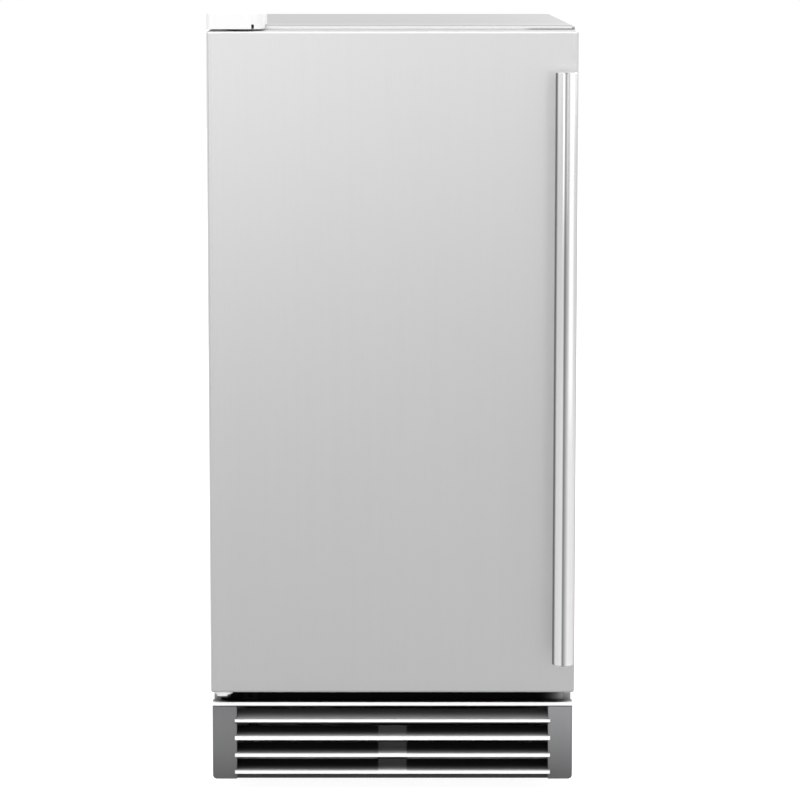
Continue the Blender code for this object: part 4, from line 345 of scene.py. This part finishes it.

# The bar carries a painted reflection: a darker line down its front, sharp at the left and soft
# at the right. Its dark left limb is painted shade, and the front of its left side is a shade
# darker than the rest, a painted reflection
LINE_LEFT_START, LINE_LEFT_STOP = 0.1724, 0.1736
LINE_RIGHT_START, LINE_RIGHT_STOP = 0.1744, 0.1790
LINE_FRONT, LINE_REAR = -0.312, -0.306
LIMB_DARK, LIMB_LIGHT = 0.0012, 0.0028
BAR_FRONT_HALF, BAR_LEFT_SIDE = -0.3045, 0.1735
handle_steel = brushed("handle_stainless", (0.95, 0.95, 0.95), 0.12, (2600, 2600, 40), SHEET_SPREAD)
handle_steel.set(Metallic=0.66)
painted_reflection_line = handle_steel.times(
    handle_steel.ramp("X", 0, 1, LINE_LEFT_START, LINE_LEFT_STOP),
    handle_steel.ramp("X", 1, 0, LINE_RIGHT_START, LINE_RIGHT_STOP),
    handle_steel.ramp("Y", 1, 0, LINE_FRONT, LINE_REAR),
)
handle_steel.darken(painted_reflection_line, share=0.75)
bar_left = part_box("handle_bar")[0].x
bar_front = handle_steel.below("Y", BAR_FRONT_HALF)
left_limb = handle_steel.ramp("X", 1, 0, bar_left + LIMB_DARK, bar_left + LIMB_LIGHT)
handle_steel.darken(handle_steel.times(left_limb, bar_front), share=0.80)
left_side = handle_steel.below("X", BAR_LEFT_SIDE)
handle_steel.darken(handle_steel.times(left_side, bar_front), share=0.13)

# Other metals
galvanised = Look("galvanised_sheet", (0.50, 0.52, 0.53), 0.42, 1.0)
spangle, spangle_relief = galvanised.cells((95, 95, 95))
galvanised.shade(galvanised.ranged(spangle, 0, 1, 0.0, 1.0), 0.055)
galvanised.rough(spangle, 0.38, 0.50).bump(spangle_relief, 0.00002, 0.2)

nickel = Look("nickel_plate", (0.66, 0.665, 0.66), 0.24, 1.0)
cloud = nickel.noise((60, 60, 60), 4.0)
nickel.shade(nickel.ranged(cloud, 0, 1), 0.06).rough(cloud, 0.18, 0.34).bump(cloud, 0.00004, 0.3)

copper = Look("drawn_copper", (0.80, 0.40, 0.26), 0.28, 1.0)
tarnish = copper.noise((45, 45, 45), 5.0, 0.6)
copper.tint(copper.ranged(tarnish, 0, 1, 0.4, 0.7), (0.82, 0.42, 0.28), (0.42, 0.19, 0.11))
copper.rough(tarnish, 0.22, 0.46)

FIN_PITCH = 0.0024
fins = Look("aluminium_fins", (0.66, 0.67, 0.68), 0.38, 1.0)
dusty = fins.noise((70, 70, 70), 4.0)
fins.shade(fins.ranged(dusty, 0, 1), 0.10).rough(dusty, 0.32, 0.52).bump(dusty, 0.00003, 0.3)
fin_rows = fins.math("SINE", fins.times(fins.axis("X"), 2 * math.pi / FIN_PITCH))
fins.darken(fins.ranged(fin_rows, 1, 0, -1, -0.2), share=0.7).bump(fin_rows, 0.0004, 0.8)

zinc = Look("zinc_screw", (0.62, 0.62, 0.60), 0.30, 1.0)
wear = zinc.noise((500, 500, 500), 3.0)
zinc.shade(zinc.ranged(wear, 0, 1), 0.12).rough(wear, 0.22, 0.42)

# Paints
black_paint = paint("black_powder_coat", (0.010, 0.010, 0.011), 0.55).set(Specular_IOR_Level=0.2)
compressor_paint = paint("compressor_enamel", (0.012, 0.012, 0.013), 0.28, 260, 0.00008)

# The strip under the door is black paint made deep black by painted shade, and its right end, by
# the cabinet's side, is a dull grey of painted light
DEEP_BLACK, PAINTED_LIGHT_GREY = (0.0015, 0.0015, 0.0015), (0.7, 0.7, 0.7)
GREY_START, GREY_STOP, GREY_RISE = 0.150, 0.188, 3.8
recess_paint_and_shade = paint("recess_paint_and_shade", DEEP_BLACK, 0.7).set(Specular_IOR_Level=0.02)
right_end = recess_paint_and_shade.ramp("X", 0, 1, GREY_START, GREY_STOP)
recess_paint_and_shade.tint(recess_paint_and_shade.math("POWER", right_end, GREY_RISE), DEEP_BLACK, PAINTED_LIGHT_GREY)

# The lower hinge plate is white at its front left corner, a painted highlight, and painted shade
# darkens it to the rear, below and to the right
PLATE_FRONT, PLATE_REAR = -0.250, -0.236
PLATE_FOOT, PLATE_FACE = 0.1034, 0.1046
PLATE_LEFT, PLATE_RIGHT = -0.1735, -0.1715
hinge_paint_and_shade = paint("hinge_plate_paint_and_shade", (0.90, 0.905, 0.905), 0.42).set(Specular_IOR_Level=0.1)
hinge_paint_and_shade.darken(hinge_paint_and_shade.ramp("Y", 0, 1, PLATE_FRONT, PLATE_REAR), share=0.998)
hinge_paint_and_shade.darken(hinge_paint_and_shade.ramp("Z", 1, 0, PLATE_FOOT, PLATE_FACE), share=0.95)
hinge_paint_and_shade.darken(hinge_paint_and_shade.ramp("X", 0, 1, PLATE_LEFT, PLATE_RIGHT), share=0.95)

# Plastics, foam and rubber
cap_plastic = moulded("hinge_cap_white", (0.94, 0.945, 0.945), 0.34, 1500, 0.00002, 0.01)
liner_plastic = moulded("liner_white", (0.84, 0.85, 0.85), 0.30, 700, 0.00003, 0.02)
white_plastic = moulded("white_plastic", (0.80, 0.81, 0.81), 0.40)
grey_plastic = moulded("grey_plastic", (0.24, 0.25, 0.26), 0.44)
button_plastic = moulded("button_plastic", (0.72, 0.73, 0.74), 0.28, 1800, 0.00001)
black_plastic = moulded("black_plastic", (0.018, 0.018, 0.02), 0.36)
blue_plastic = moulded("blue_plastic", (0.06, 0.20, 0.48), 0.36)
clear_plastic = moulded("clear_grey_plastic", (0.60, 0.66, 0.70), 0.16, 1500, 0.00001)
clear_plastic.set(Transmission_Weight=0.55, IOR=1.49)
lens = moulded("lamp_lens", (0.16, 0.50, 0.22), 0.12, 1500, 0.00001)
lens.set(Transmission_Weight=0.35, IOR=1.49)

foam = Look("closed_cell_foam", (0.80, 0.70, 0.44), 0.92, 0.0, 0.2)
bubbles = foam.noise((420, 420, 420), 4.0, 0.7)
foam.shade(foam.ranged(bubbles, 0, 1), 0.16).bump(bubbles, 0.0006, 0.8)

gasket = Look("gasket_vinyl", (0.20, 0.21, 0.22), 0.62, 0.0, 0.35)
ribs = gasket.noise((12, 900, 12), 1.0)
gasket.shade(gasket.noise((30, 30, 30), 3.0), 0.12).rough(ribs, 0.55, 0.70).bump(ribs, 0.0003, 0.6)

rubber = Look("black_rubber", (0.016, 0.016, 0.017), 0.78, 0.0, 0.3)
dust = rubber.noise((120, 120, 120), 5.0, 0.65)
rubber.tint(rubber.ranged(dust, 0, 1, 0.45, 0.85), (0.013, 0.013, 0.014), (0.05, 0.048, 0.045))
rubber.rough(dust, 0.68, 0.88).bump(dust, 0.00012, 0.6)

DRESS = {
    door_steel: ["door_skin"],
    side_steel: ["side_panel_left", "side_panel_right"],
    top_steel: ["top_panel"],
    kick_steel: ["kick_top_rail", "kick_louvre_2", "kick_louvre_3", "kick_bottom_rail"],
    first_steel: ["kick_louvre_1"],
    handle_steel: ["handle_bar", "handle_post_upper", "handle_post_lower"],
    galvanised: ["base_pan", "rear_panel", "machine_cover", "fan_shroud", "top_hinge_plate"],
    bracket_steel: ["kick_centre_bracket"],
    hinge_paint_and_shade: ["bottom_hinge_plate"],
    recess_paint_and_shade: ["front_crossmember"],
    black_paint: ["fan_motor"],
    compressor_paint: ["compressor"],
    kick_end_grey_and_shade: ["kick_end_left", "kick_end_right"],
    cap_plastic: ["top_hinge_cap"],
    liner_plastic: ["bin_liner", "door_liner"],
    white_plastic: [
        "water_distributor",
        "water_trough",
        "scoop_holder",
        "water_inlet_valve",
        "door_bush_upper",
        "door_bush_lower",
    ],
    button_plastic: ["button_power", "button_clean", "button_light"],
    grey_plastic: [
        "evaporator_housing",
        "control_fascia",
        "circulation_pump",
        "electrical_box",
        "bin_drain",
        "drain_hose",
    ],
    clear_plastic: ["water_curtain", "ice_scoop"],
    foam: ["insulation", "door_foam"],
    gasket: ["door_gasket"],
    rubber: [
        "foot_front_left",
        "foot_front_right",
        "foot_rear_left",
        "foot_rear_right",
        "pump_hose",
    ],
    nickel: ["evaporator_plate"],
    copper: ["evaporator_coil", "discharge_line", "suction_line", "filter_drier"],
    fins: ["condenser"],
    black_plastic: ["fan_blade"],
    blue_plastic: ["water_float"],
}
for look, names in DRESS.items():
    for name in names:
        for material_slot in NODES[name].material_slots:
            material_slot.material = look.material


# Small fittings

REARWARD, FORWARD, LEFTWARD = (0, 1, 0), (0, -1, 0), (-1, 0, 0)
UPWARD, DOWNWARD = (0, 0, 1), (0, 0, -1)
SIDES = (-1, 1)
SHARP_ANGLE = math.radians(35)
SUNK = 0.0006  # how far a fitting's underside goes into the part it sits on
EDGE = 0.0003  # the width of a fitting's chamfers
SCREW_REACH, TURNED_REACH = 0.00002, 0.00001  # vertices that are this close become one


def mesh_object(name, bm, look):
    """An object with a mesh and one material."""
    mesh = bpy.data.meshes.new(name)
    bm.to_mesh(mesh)
    bm.free()
    mesh.materials.append(look.material)
    obj = bpy.data.objects.new(name, mesh)
    scene.collection.objects.link(obj)
    return obj


def piece(name, bm, look, body):
    """Makes a mesh object that rides on a body."""
    obj = mesh_object(name, bm, look)
    obj.data.shade_smooth()
    obj.data.set_sharp_from_angle(angle=SHARP_ANGLE)
    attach(obj, body)


def joined(bm, reach):
    """Makes one vertex of those that meet, and turns all the faces outwards."""
    bmesh.ops.remove_doubles(bm, verts=bm.verts, dist=reach)
    bmesh.ops.recalc_face_normals(bm, faces=bm.faces)
    return bm


def middle_of(box):
    """The middle of a box that is given by its lowest and highest corners."""
    return (box[0] + box[1]) / 2


def facing(axis):
    """The turn that takes the Z axis to another."""
    return Vector((0, 0, 1)).rotation_difference(Vector(axis)).to_matrix()


def ring(bm, radius, height, place, turn, steps):
    """Adds the vertices of a circle, or just one where the radius is 0."""
    made = []
    for step in range(steps if radius else 1):
        angle = 2 * math.pi * step / steps
        point = Vector((radius * math.cos(angle), radius * math.sin(angle), height))
        made.append(bm.verts.new(turn @ point + place))
    return made


def lathe(bm, profile, place, turn, steps):
    """Adds a turned shape. Its profile is a row of points, each a radius and a height."""
    rings = [ring(bm, radius, height, place, turn, steps) for radius, height in profile]
    for lower, upper in zip(rings, rings[1:]):
        for step in range(steps):
            after = (step + 1) % steps
            if len(lower) == 1:
                bm.faces.new((lower[0], upper[step], upper[after]))
            elif len(upper) == 1:
                bm.faces.new((lower[step], lower[after], upper[0]))
            else:
                bm.faces.new((lower[step], lower[after], upper[after], upper[step]))


def turned(name, shapes, look, body, steps=24):
    """One piece made of turned shapes, each a profile of (radius, height), a place and an axis."""
    bm = bmesh.new()
    for profile, place, axis in shapes:
        lathe(bm, profile, Vector(place), facing(axis), steps)
    piece(name, joined(bm, TURNED_REACH), look, body)


def pairs(loop):
    """Each item of a closed loop with the next one."""
    return list(zip(loop, loop[1:] + loop[:1]))


# A screw head's sizes as shares of its radius, and then as shares of its height
HEAD_HEIGHT, SHOULDER, CROWN = 0.62, 0.86, 0.62
CROSS_ARM, CROSS_HALF_WIDTH = 0.5, 0.13
CROSS_FLOOR, SHOULDER_HEIGHT = 0.35, 0.8
CROSS_TAPER = 0.8  # the size of the cross at its floor, as a share of that at its mouth
SCREW_STEPS = 20


def screw_head(bm, place, axis, radius):
    """Adds a pan head with a cross recess, whose underside is a little sunk in the sheet."""
    turn, place = facing(axis), Vector(place)
    height, arm, half_width = radius * HEAD_HEIGHT, radius * CROSS_ARM, radius * CROSS_HALF_WIDTH
    floor_height = height * CROSS_FLOOR
    profile = [
        (0, -SUNK),
        (radius, -SUNK),
        (radius, floor_height),
        (radius * SHOULDER, height * SHOULDER_HEIGHT),
        (radius * CROWN, height),
        (arm, height),
    ]
    lathe(bm, profile, place, turn, SCREW_STEPS)
    rim = ring(bm, arm, height, place, turn, SCREW_STEPS)

    outline = []
    for quarter in range(4):
        spin = Matrix.Rotation(math.pi / 2 * quarter, 3, "Z")
        for x, y in ((arm, -half_width), (arm, half_width), (half_width, half_width)):
            outline.append(spin @ Vector((x, y, 0)))
    to_mouth, to_floor = Vector((0, 0, height)), Vector((0, 0, floor_height))
    upper = [bm.verts.new(turn @ (point + to_mouth) + place) for point in outline]
    lower = [bm.verts.new(turn @ (point * CROSS_TAPER + to_floor) + place) for point in outline]

    edges = [bm.edges.new(pair) for pair in pairs(rim) + pairs(upper)]
    bmesh.ops.triangle_fill(bm, use_beauty=True, use_dissolve=False, edges=edges)
    for (upper_a, upper_b), (lower_a, lower_b) in zip(pairs(upper), pairs(lower)):
        bm.faces.new((upper_a, upper_b, lower_b, lower_a))
    bm.faces.new(lower)


def screws(name, places, axis, radius, look=zinc):
    """One piece made of screw heads on the cabinet, which all face one way."""
    bm = bmesh.new()
    for place in places:
        screw_head(bm, place, axis, radius)
    piece(name, joined(bm, SCREW_REACH), look, "cabinet")


# The radii of the screw heads
LARGE_HEAD, SMALL_HEAD, FOLD_HEAD, HOLDER_HEAD = 0.0036, 0.0030, 0.0028, 0.0026

# Screws down the rear panel's edges
EDGE_SCREW_INSET, EDGE_SCREW_Z = 0.0036, (0.33, 0.45, 0.57, 0.69, 0.775)
rear = cad_high.y
edge_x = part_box("side_panel_right")[1].x - EDGE_SCREW_INSET
edge_places = [(side * edge_x, rear, z) for side in SIDES for z in EDGE_SCREW_Z]
screws("rear_edge_screws", edge_places, REARWARD, SMALL_HEAD)

# Screws in the machine compartment's cover
COVER_SCREW_X, COVER_SCREW_Z = 0.170, (0.032, 0.150, 0.272)
cover_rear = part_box("machine_cover")[1].y
cover_places = [(side * COVER_SCREW_X, cover_rear, z) for side in SIDES for z in COVER_SCREW_Z]
screws("cover_screws", cover_places, REARWARD, LARGE_HEAD)

# Screws in the top panel's rear flange
TOP_SCREW_X, TOP_SCREW_DROP = (-0.145, 0, 0.145), 0.0006
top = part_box("top_panel")
top_screw_z = middle_of(top).z - TOP_SCREW_DROP
screws("top_rear_screws", [(x, rear, top_screw_z) for x in TOP_SCREW_X], REARWARD, SMALL_HEAD)

# Screws in the base pan's rear flange
BASE_SCREW_X, BASE_SCREW_Z = (-0.110, 0.110), 0.0285
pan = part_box("base_pan")
base_places = [(x, pan[1].y, BASE_SCREW_Z) for x in BASE_SCREW_X]
screws("base_rear_screws", base_places, REARWARD, SMALL_HEAD)

# Black screws in the lower hinge plate's fold
FOLD_SCREW_X, FOLD_SCREW_INSET, FOLD_SCREW_RISE = (-0.1605, -0.1495), 0.003, 0.0052
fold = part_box("bottom_hinge_plate")
fold_y, fold_z = fold[1].y - FOLD_SCREW_INSET, fold[0].z + FOLD_SCREW_RISE
fold_places = [(x, fold_y, fold_z) for x in FOLD_SCREW_X]
screws("lower_hinge_screws", fold_places, FORWARD, FOLD_HEAD, recess_paint_and_shade)

# Screws in the scoop's holder
HOLDER_SCREW_Y, HOLDER_SCREW_INSET, HOLDER_SCREW_RISE = (-0.150, -0.106), 0.004, 0.012
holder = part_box("scoop_holder")
holder_x, holder_z = holder[0].x + HOLDER_SCREW_INSET, holder[0].z + HOLDER_SCREW_RISE
holder_places = [(holder_x, y, holder_z) for y in HOLDER_SCREW_Y]
screws("holder_screws", holder_places, LEFTWARD, HOLDER_HEAD)


def button(radius, height):
    """The profile of a low round button with a soft rim."""
    rim = [(radius, height - EDGE), (radius - EDGE, height)]
    return [(0, -SUNK), (radius, -SUNK), *rim, (0, height)]


def band(inner, outer, width):
    """The profile of a ring that goes round a tube."""
    front = [(inner, 0), (outer - EDGE, 0), (outer, EDGE)]
    return [*front, (outer, width - EDGE), (outer - EDGE, width), (inner, width), (inner, 0)]


# A small plug at the top panel's right front corner
CORNER_INSET, CORNER_DROP = 0.0024, 0.0030
corner = (top[1].x - CORNER_INSET, top[0].y, top[1].z - CORNER_DROP)
corner_plug = button(radius=0.0011, height=0.0004)
corner_shapes = [(corner_plug, corner, FORWARD)]
turned("corner_plug", corner_shapes, grey_plastic, "cabinet")

# A snap-in plug in the hinge cap
CAP_PLUG_INSET = 0.022
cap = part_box("top_hinge_cap")
cap_place = (middle_of(cap).x, cap[1].y - CAP_PLUG_INSET, cap[1].z)
cap_plug = button(radius=0.0042, height=0.0006)
turned("cap_plug", [(cap_plug, cap_place, UPWARD)], cap_plastic, "cabinet", steps=32)

# Six-sided grub screws under the handle's posts, each with a socket
GRUB_RADIUS, GRUB_HEIGHT, GRUB_SETBACK = 0.0022, 0.0006, 0.006
SOCKET_FLOOR, SOCKET_FLOOR_RADIUS, SOCKET_MOUTH_RADIUS = 0.0002, 0.0011, 0.0013
GRUB_SCREW = [
    (0, SOCKET_FLOOR),
    (SOCKET_FLOOR_RADIUS, SOCKET_FLOOR),
    (SOCKET_MOUTH_RADIUS, GRUB_HEIGHT),
    (GRUB_RADIUS, GRUB_HEIGHT),
    (GRUB_RADIUS, -SUNK),
    (0, -SUNK),
]
grub_shapes = []
for post in ("handle_post_upper", "handle_post_lower"):
    low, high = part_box(post)
    grub_place = ((low.x + high.x) / 2, (low.y + high.y) / 2 + GRUB_SETBACK, low.z)
    grub_shapes.append((GRUB_SCREW, grub_place, DOWNWARD))
turned("post_grub_screws", grub_shapes, zinc, "door", steps=6)

# Indicator lamps between the buttons
LAMP_X = 0.0225
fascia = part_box("control_fascia")
lamp_z = middle_of(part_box("button_power")).z
indicator = button(radius=0.0018, height=0.0008)
lamp_shapes = [(indicator, (side * LAMP_X, fascia[0].y, lamp_z), FORWARD) for side in SIDES]
turned("indicator_lamps", lamp_shapes, lens, "cabinet")

# A collar round each button
COLLAR_SUNK = 0.0004
collar = band(inner=0.0090, outer=0.0106, width=0.0014)
collar_shapes = []
for name in ("button_power", "button_clean", "button_light"):
    button_middle = middle_of(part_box(name))
    collar_place = (button_middle.x, fascia[0].y + COLLAR_SUNK, button_middle.z)
    collar_shapes.append((collar, collar_place, FORWARD))
turned("button_collars", collar_shapes, black_plastic, "cabinet", steps=40)

# A clamp's band on the drain hose, outside the cover
CLAMP_GAP, HOSE_AXIS_RISE = 0.0035, 0.009
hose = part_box("drain_hose")
clamp_place = (middle_of(hose).x, cover_rear + CLAMP_GAP, hose[0].z + HOSE_AXIS_RISE)
clamp = band(inner=0.0088, outer=0.0097, width=0.0080)
turned("hose_clamp", [(clamp, clamp_place, REARWARD)], zinc, "cabinet", steps=40)

# A thread on the inlet valve's spout, as rings
THREAD_GAP, SPOUT_AXIS_RISE = 0.0040, 0.015
THREAD_RINGS, THREAD_PITCH = 8, 0.0018
THREAD_BORE, THREAD_ROOT, THREAD_CREST = 0.0092, 0.0094, 0.0106
CREST_START, CREST_STOP, RING_STOP = 0.0007, 0.0010, 0.0017
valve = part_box("water_inlet_valve")
thread_place = (middle_of(valve).x, cover_rear + THREAD_GAP, valve[0].z + SPOUT_AXIS_RISE)
thread = []
for number in range(THREAD_RINGS):
    start = number * THREAD_PITCH
    thread += [(THREAD_ROOT, start), (THREAD_CREST, start + CREST_START)]
    thread += [(THREAD_CREST, start + CREST_STOP), (THREAD_ROOT, start + RING_STOP)]
thread += [(THREAD_BORE, thread[-1][1]), (THREAD_BORE, 0), (THREAD_ROOT, 0)]
thread_shapes = [(thread, thread_place, REARWARD)]
turned("valve_thread", thread_shapes, white_plastic, "cabinet", steps=40)

# A twelve-sided dome nut on the cable gland
NUT_GAP, NUT_BORE, NUT_RADIUS, DOME_RADIUS = 0.0008, 0.0088, 0.0114, 0.0104
NUT_HEIGHT, DOME_HEIGHT, NUT_TOP = 0.0060, 0.0090, 0.0100
DOME_NUT = [
    (NUT_BORE, 0),
    (NUT_RADIUS, 0),
    (NUT_RADIUS, NUT_HEIGHT),
    (DOME_RADIUS, DOME_HEIGHT),
    (NUT_BORE, NUT_TOP),
    (NUT_BORE, 0),
]
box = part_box("electrical_box")
nut_place = (middle_of(box).x, cover_rear + NUT_GAP, middle_of(box).z)
nut_shapes = [(DOME_NUT, nut_place, REARWARD)]
turned("gland_nut", nut_shapes, black_plastic, "cabinet", steps=12)


def add_block(bm, size, place, turn=0.0):
    """Adds a block, turned about the upright axis and then put in its place."""
    made = bmesh.ops.create_cube(bm, size=1)["verts"]
    bmesh.ops.scale(bm, verts=made, vec=size)
    bmesh.ops.rotate(bm, verts=made, matrix=Matrix.Rotation(turn, 3, "Z"))
    bmesh.ops.translate(bm, verts=made, vec=place)


# The drain's strainer: a cross of two thin bars
STRAINER_BAR, STRAINER_DROP = (0.0150, 0.0016, 0.0012), 0.0030
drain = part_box("bin_drain")
drain_middle = middle_of(drain)
strainer_place = (drain_middle.x, drain_middle.y, drain[1].z - STRAINER_DROP)
bm = bmesh.new()
for turn in (0, math.pi / 2):
    add_block(bm, STRAINER_BAR, strainer_place, turn)
bmesh.ops.bevel(bm, geom=bm.edges, offset=EDGE, segments=1, affect="EDGES")
piece("drain_strainer", bm, grey_plastic, "cabinet")

# The compressor's relay cover
RELAY_SIZE, RELAY_OUT, RELAY_DROP = (0.034, 0.018, 0.044), 0.0025, 0.006
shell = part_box("compressor")
shell_middle = middle_of(shell)
bm = bmesh.new()
add_block(bm, RELAY_SIZE, (shell_middle.x, shell[0].y - RELAY_OUT, shell_middle.z - RELAY_DROP))
bmesh.ops.bevel(bm, geom=bm.edges, offset=0.003, segments=3, affect="EDGES")
piece("relay_cover", bm, black_plastic, "cabinet")


# Stage, lights and camera


def stage_look(name, colour, glow):
    """A dull surface with a glow of its own, whose strength is given for each kind of ray."""
    look = Look(name, colour, 1.0, specular=0.0)
    rays, strength = look.node("LightPath"), 0
    for kind, share in glow.items():
        inputs = {0: rays.outputs[kind], 1: share, 2: strength}
        strength = look.node("Math", inputs, operation="MULTIPLY_ADD").outputs["Value"]
    return look.set(Emission_Color=(1, 1, 1, 1)).drive("Emission Strength", strength)


def plane(name, width, length, look):
    """A flat sheet, level and with its middle at the origin."""
    bm = bmesh.new()
    bmesh.ops.create_grid(bm, x_segments=1, y_segments=1, size=0.5)
    bmesh.ops.scale(bm, verts=bm.verts, vec=(width, length, 1))
    return mesh_object(name, bm, look)


# The pale floor renders near white and keeps shadows
FLOOR_GLOW = {"Is Camera Ray": 0.88, "Is Glossy Ray": 0.21, "Is Transmission Ray": 0.88}
FLOOR_WIDTH, FLOOR_DROP = 24, 0.0002
floor_look = stage_look("pale_floor", (0.36, 0.36, 0.36), FLOOR_GLOW)
floor = plane("floor", FLOOR_WIDTH, FLOOR_WIDTH, floor_look)
floor.location = (0, 0, -FLOOR_DROP)

world = bpy.data.worlds.new("studio")
scene.world = world
world.use_nodes = True
background = world.node_tree.nodes["Background"]
background.inputs["Color"].default_value = (1, 1, 1, 1)
background.inputs["Strength"].default_value = 1.0


def lamp(name, place, aim, size, power):
    """A rectangular lamp that shines from one place towards another."""
    light = bpy.data.lights.new(name, "AREA")
    light.shape = "RECTANGLE"
    light.size, light.size_y = size
    light.energy = power
    obj = bpy.data.objects.new(name, light)
    scene.collection.objects.link(obj)
    obj.location = place
    obj.rotation_mode = "QUATERNION"
    obj.rotation_quaternion = (Vector(aim) - Vector(place)).to_track_quat("-Z", "Y")
    return obj


lamp("key", (-0.4, -3.9, 1.15), aim=(0, -0.2, 0.7), size=(3.4, 1.7), power=18.5)
lamp("top_front", (-0.2, -2.0, 3.0), aim=(0, -0.1, 0.8), size=(2.4, 0.8), power=18)
# A narrow lamp for the kick grille, which no reflection shows
low_front = lamp("low_front", (0, -2.0, 0.42), aim=(0, -0.25, 0.06), size=(1.2, 0.3), power=1.5)
low_front.data.spread = math.radians(50)
low_front.visible_glossy = False
lamp("right_panel", (2.6, -1.2, 0.9), aim=(0.17, -0.3, 0.5), size=(3.0, 2.2), power=9)
lamp("rear", (1.2, 2.4, 1.8), aim=(0, 0.2, 0.4), size=(1.4, 1.0), power=22)

# A dark flag behind the camera, which only reflections see. It draws the bar's fine dark line
FLAG_WIDTH, FLAG_HEIGHT, FLAG_GLOW = 0.75, 5.0, {"Is Glossy Ray": 0.05}
flag_look = stage_look("dark_flag", (0.03, 0.03, 0.03), FLAG_GLOW)
flag = plane("flag", FLAG_WIDTH, FLAG_HEIGHT, flag_look)
flag.location = (0.25, -4.3, 1.4)
flag.rotation_euler = (math.pi / 2, 0, 0)
flag.visible_camera = flag.visible_diffuse = False
flag.visible_shadow = flag.visible_transmission = False

CAMERA_TILT = 7.294  # degrees below the horizon
camera_data = bpy.data.cameras.new("camera")
camera = bpy.data.objects.new("camera", camera_data)
scene.collection.objects.link(camera)
camera.location = (0, -3.6, 0.886)
camera.rotation_euler = (math.radians(90 - CAMERA_TILT), 0, 0)
camera_data.sensor_width = 36
camera_data.lens = 147.15
camera_data.shift_x = 0.00943
camera_data.shift_y = -0.05
camera_data.clip_end = 60
scene.camera = camera
scene.view_settings.view_transform = "Standard"
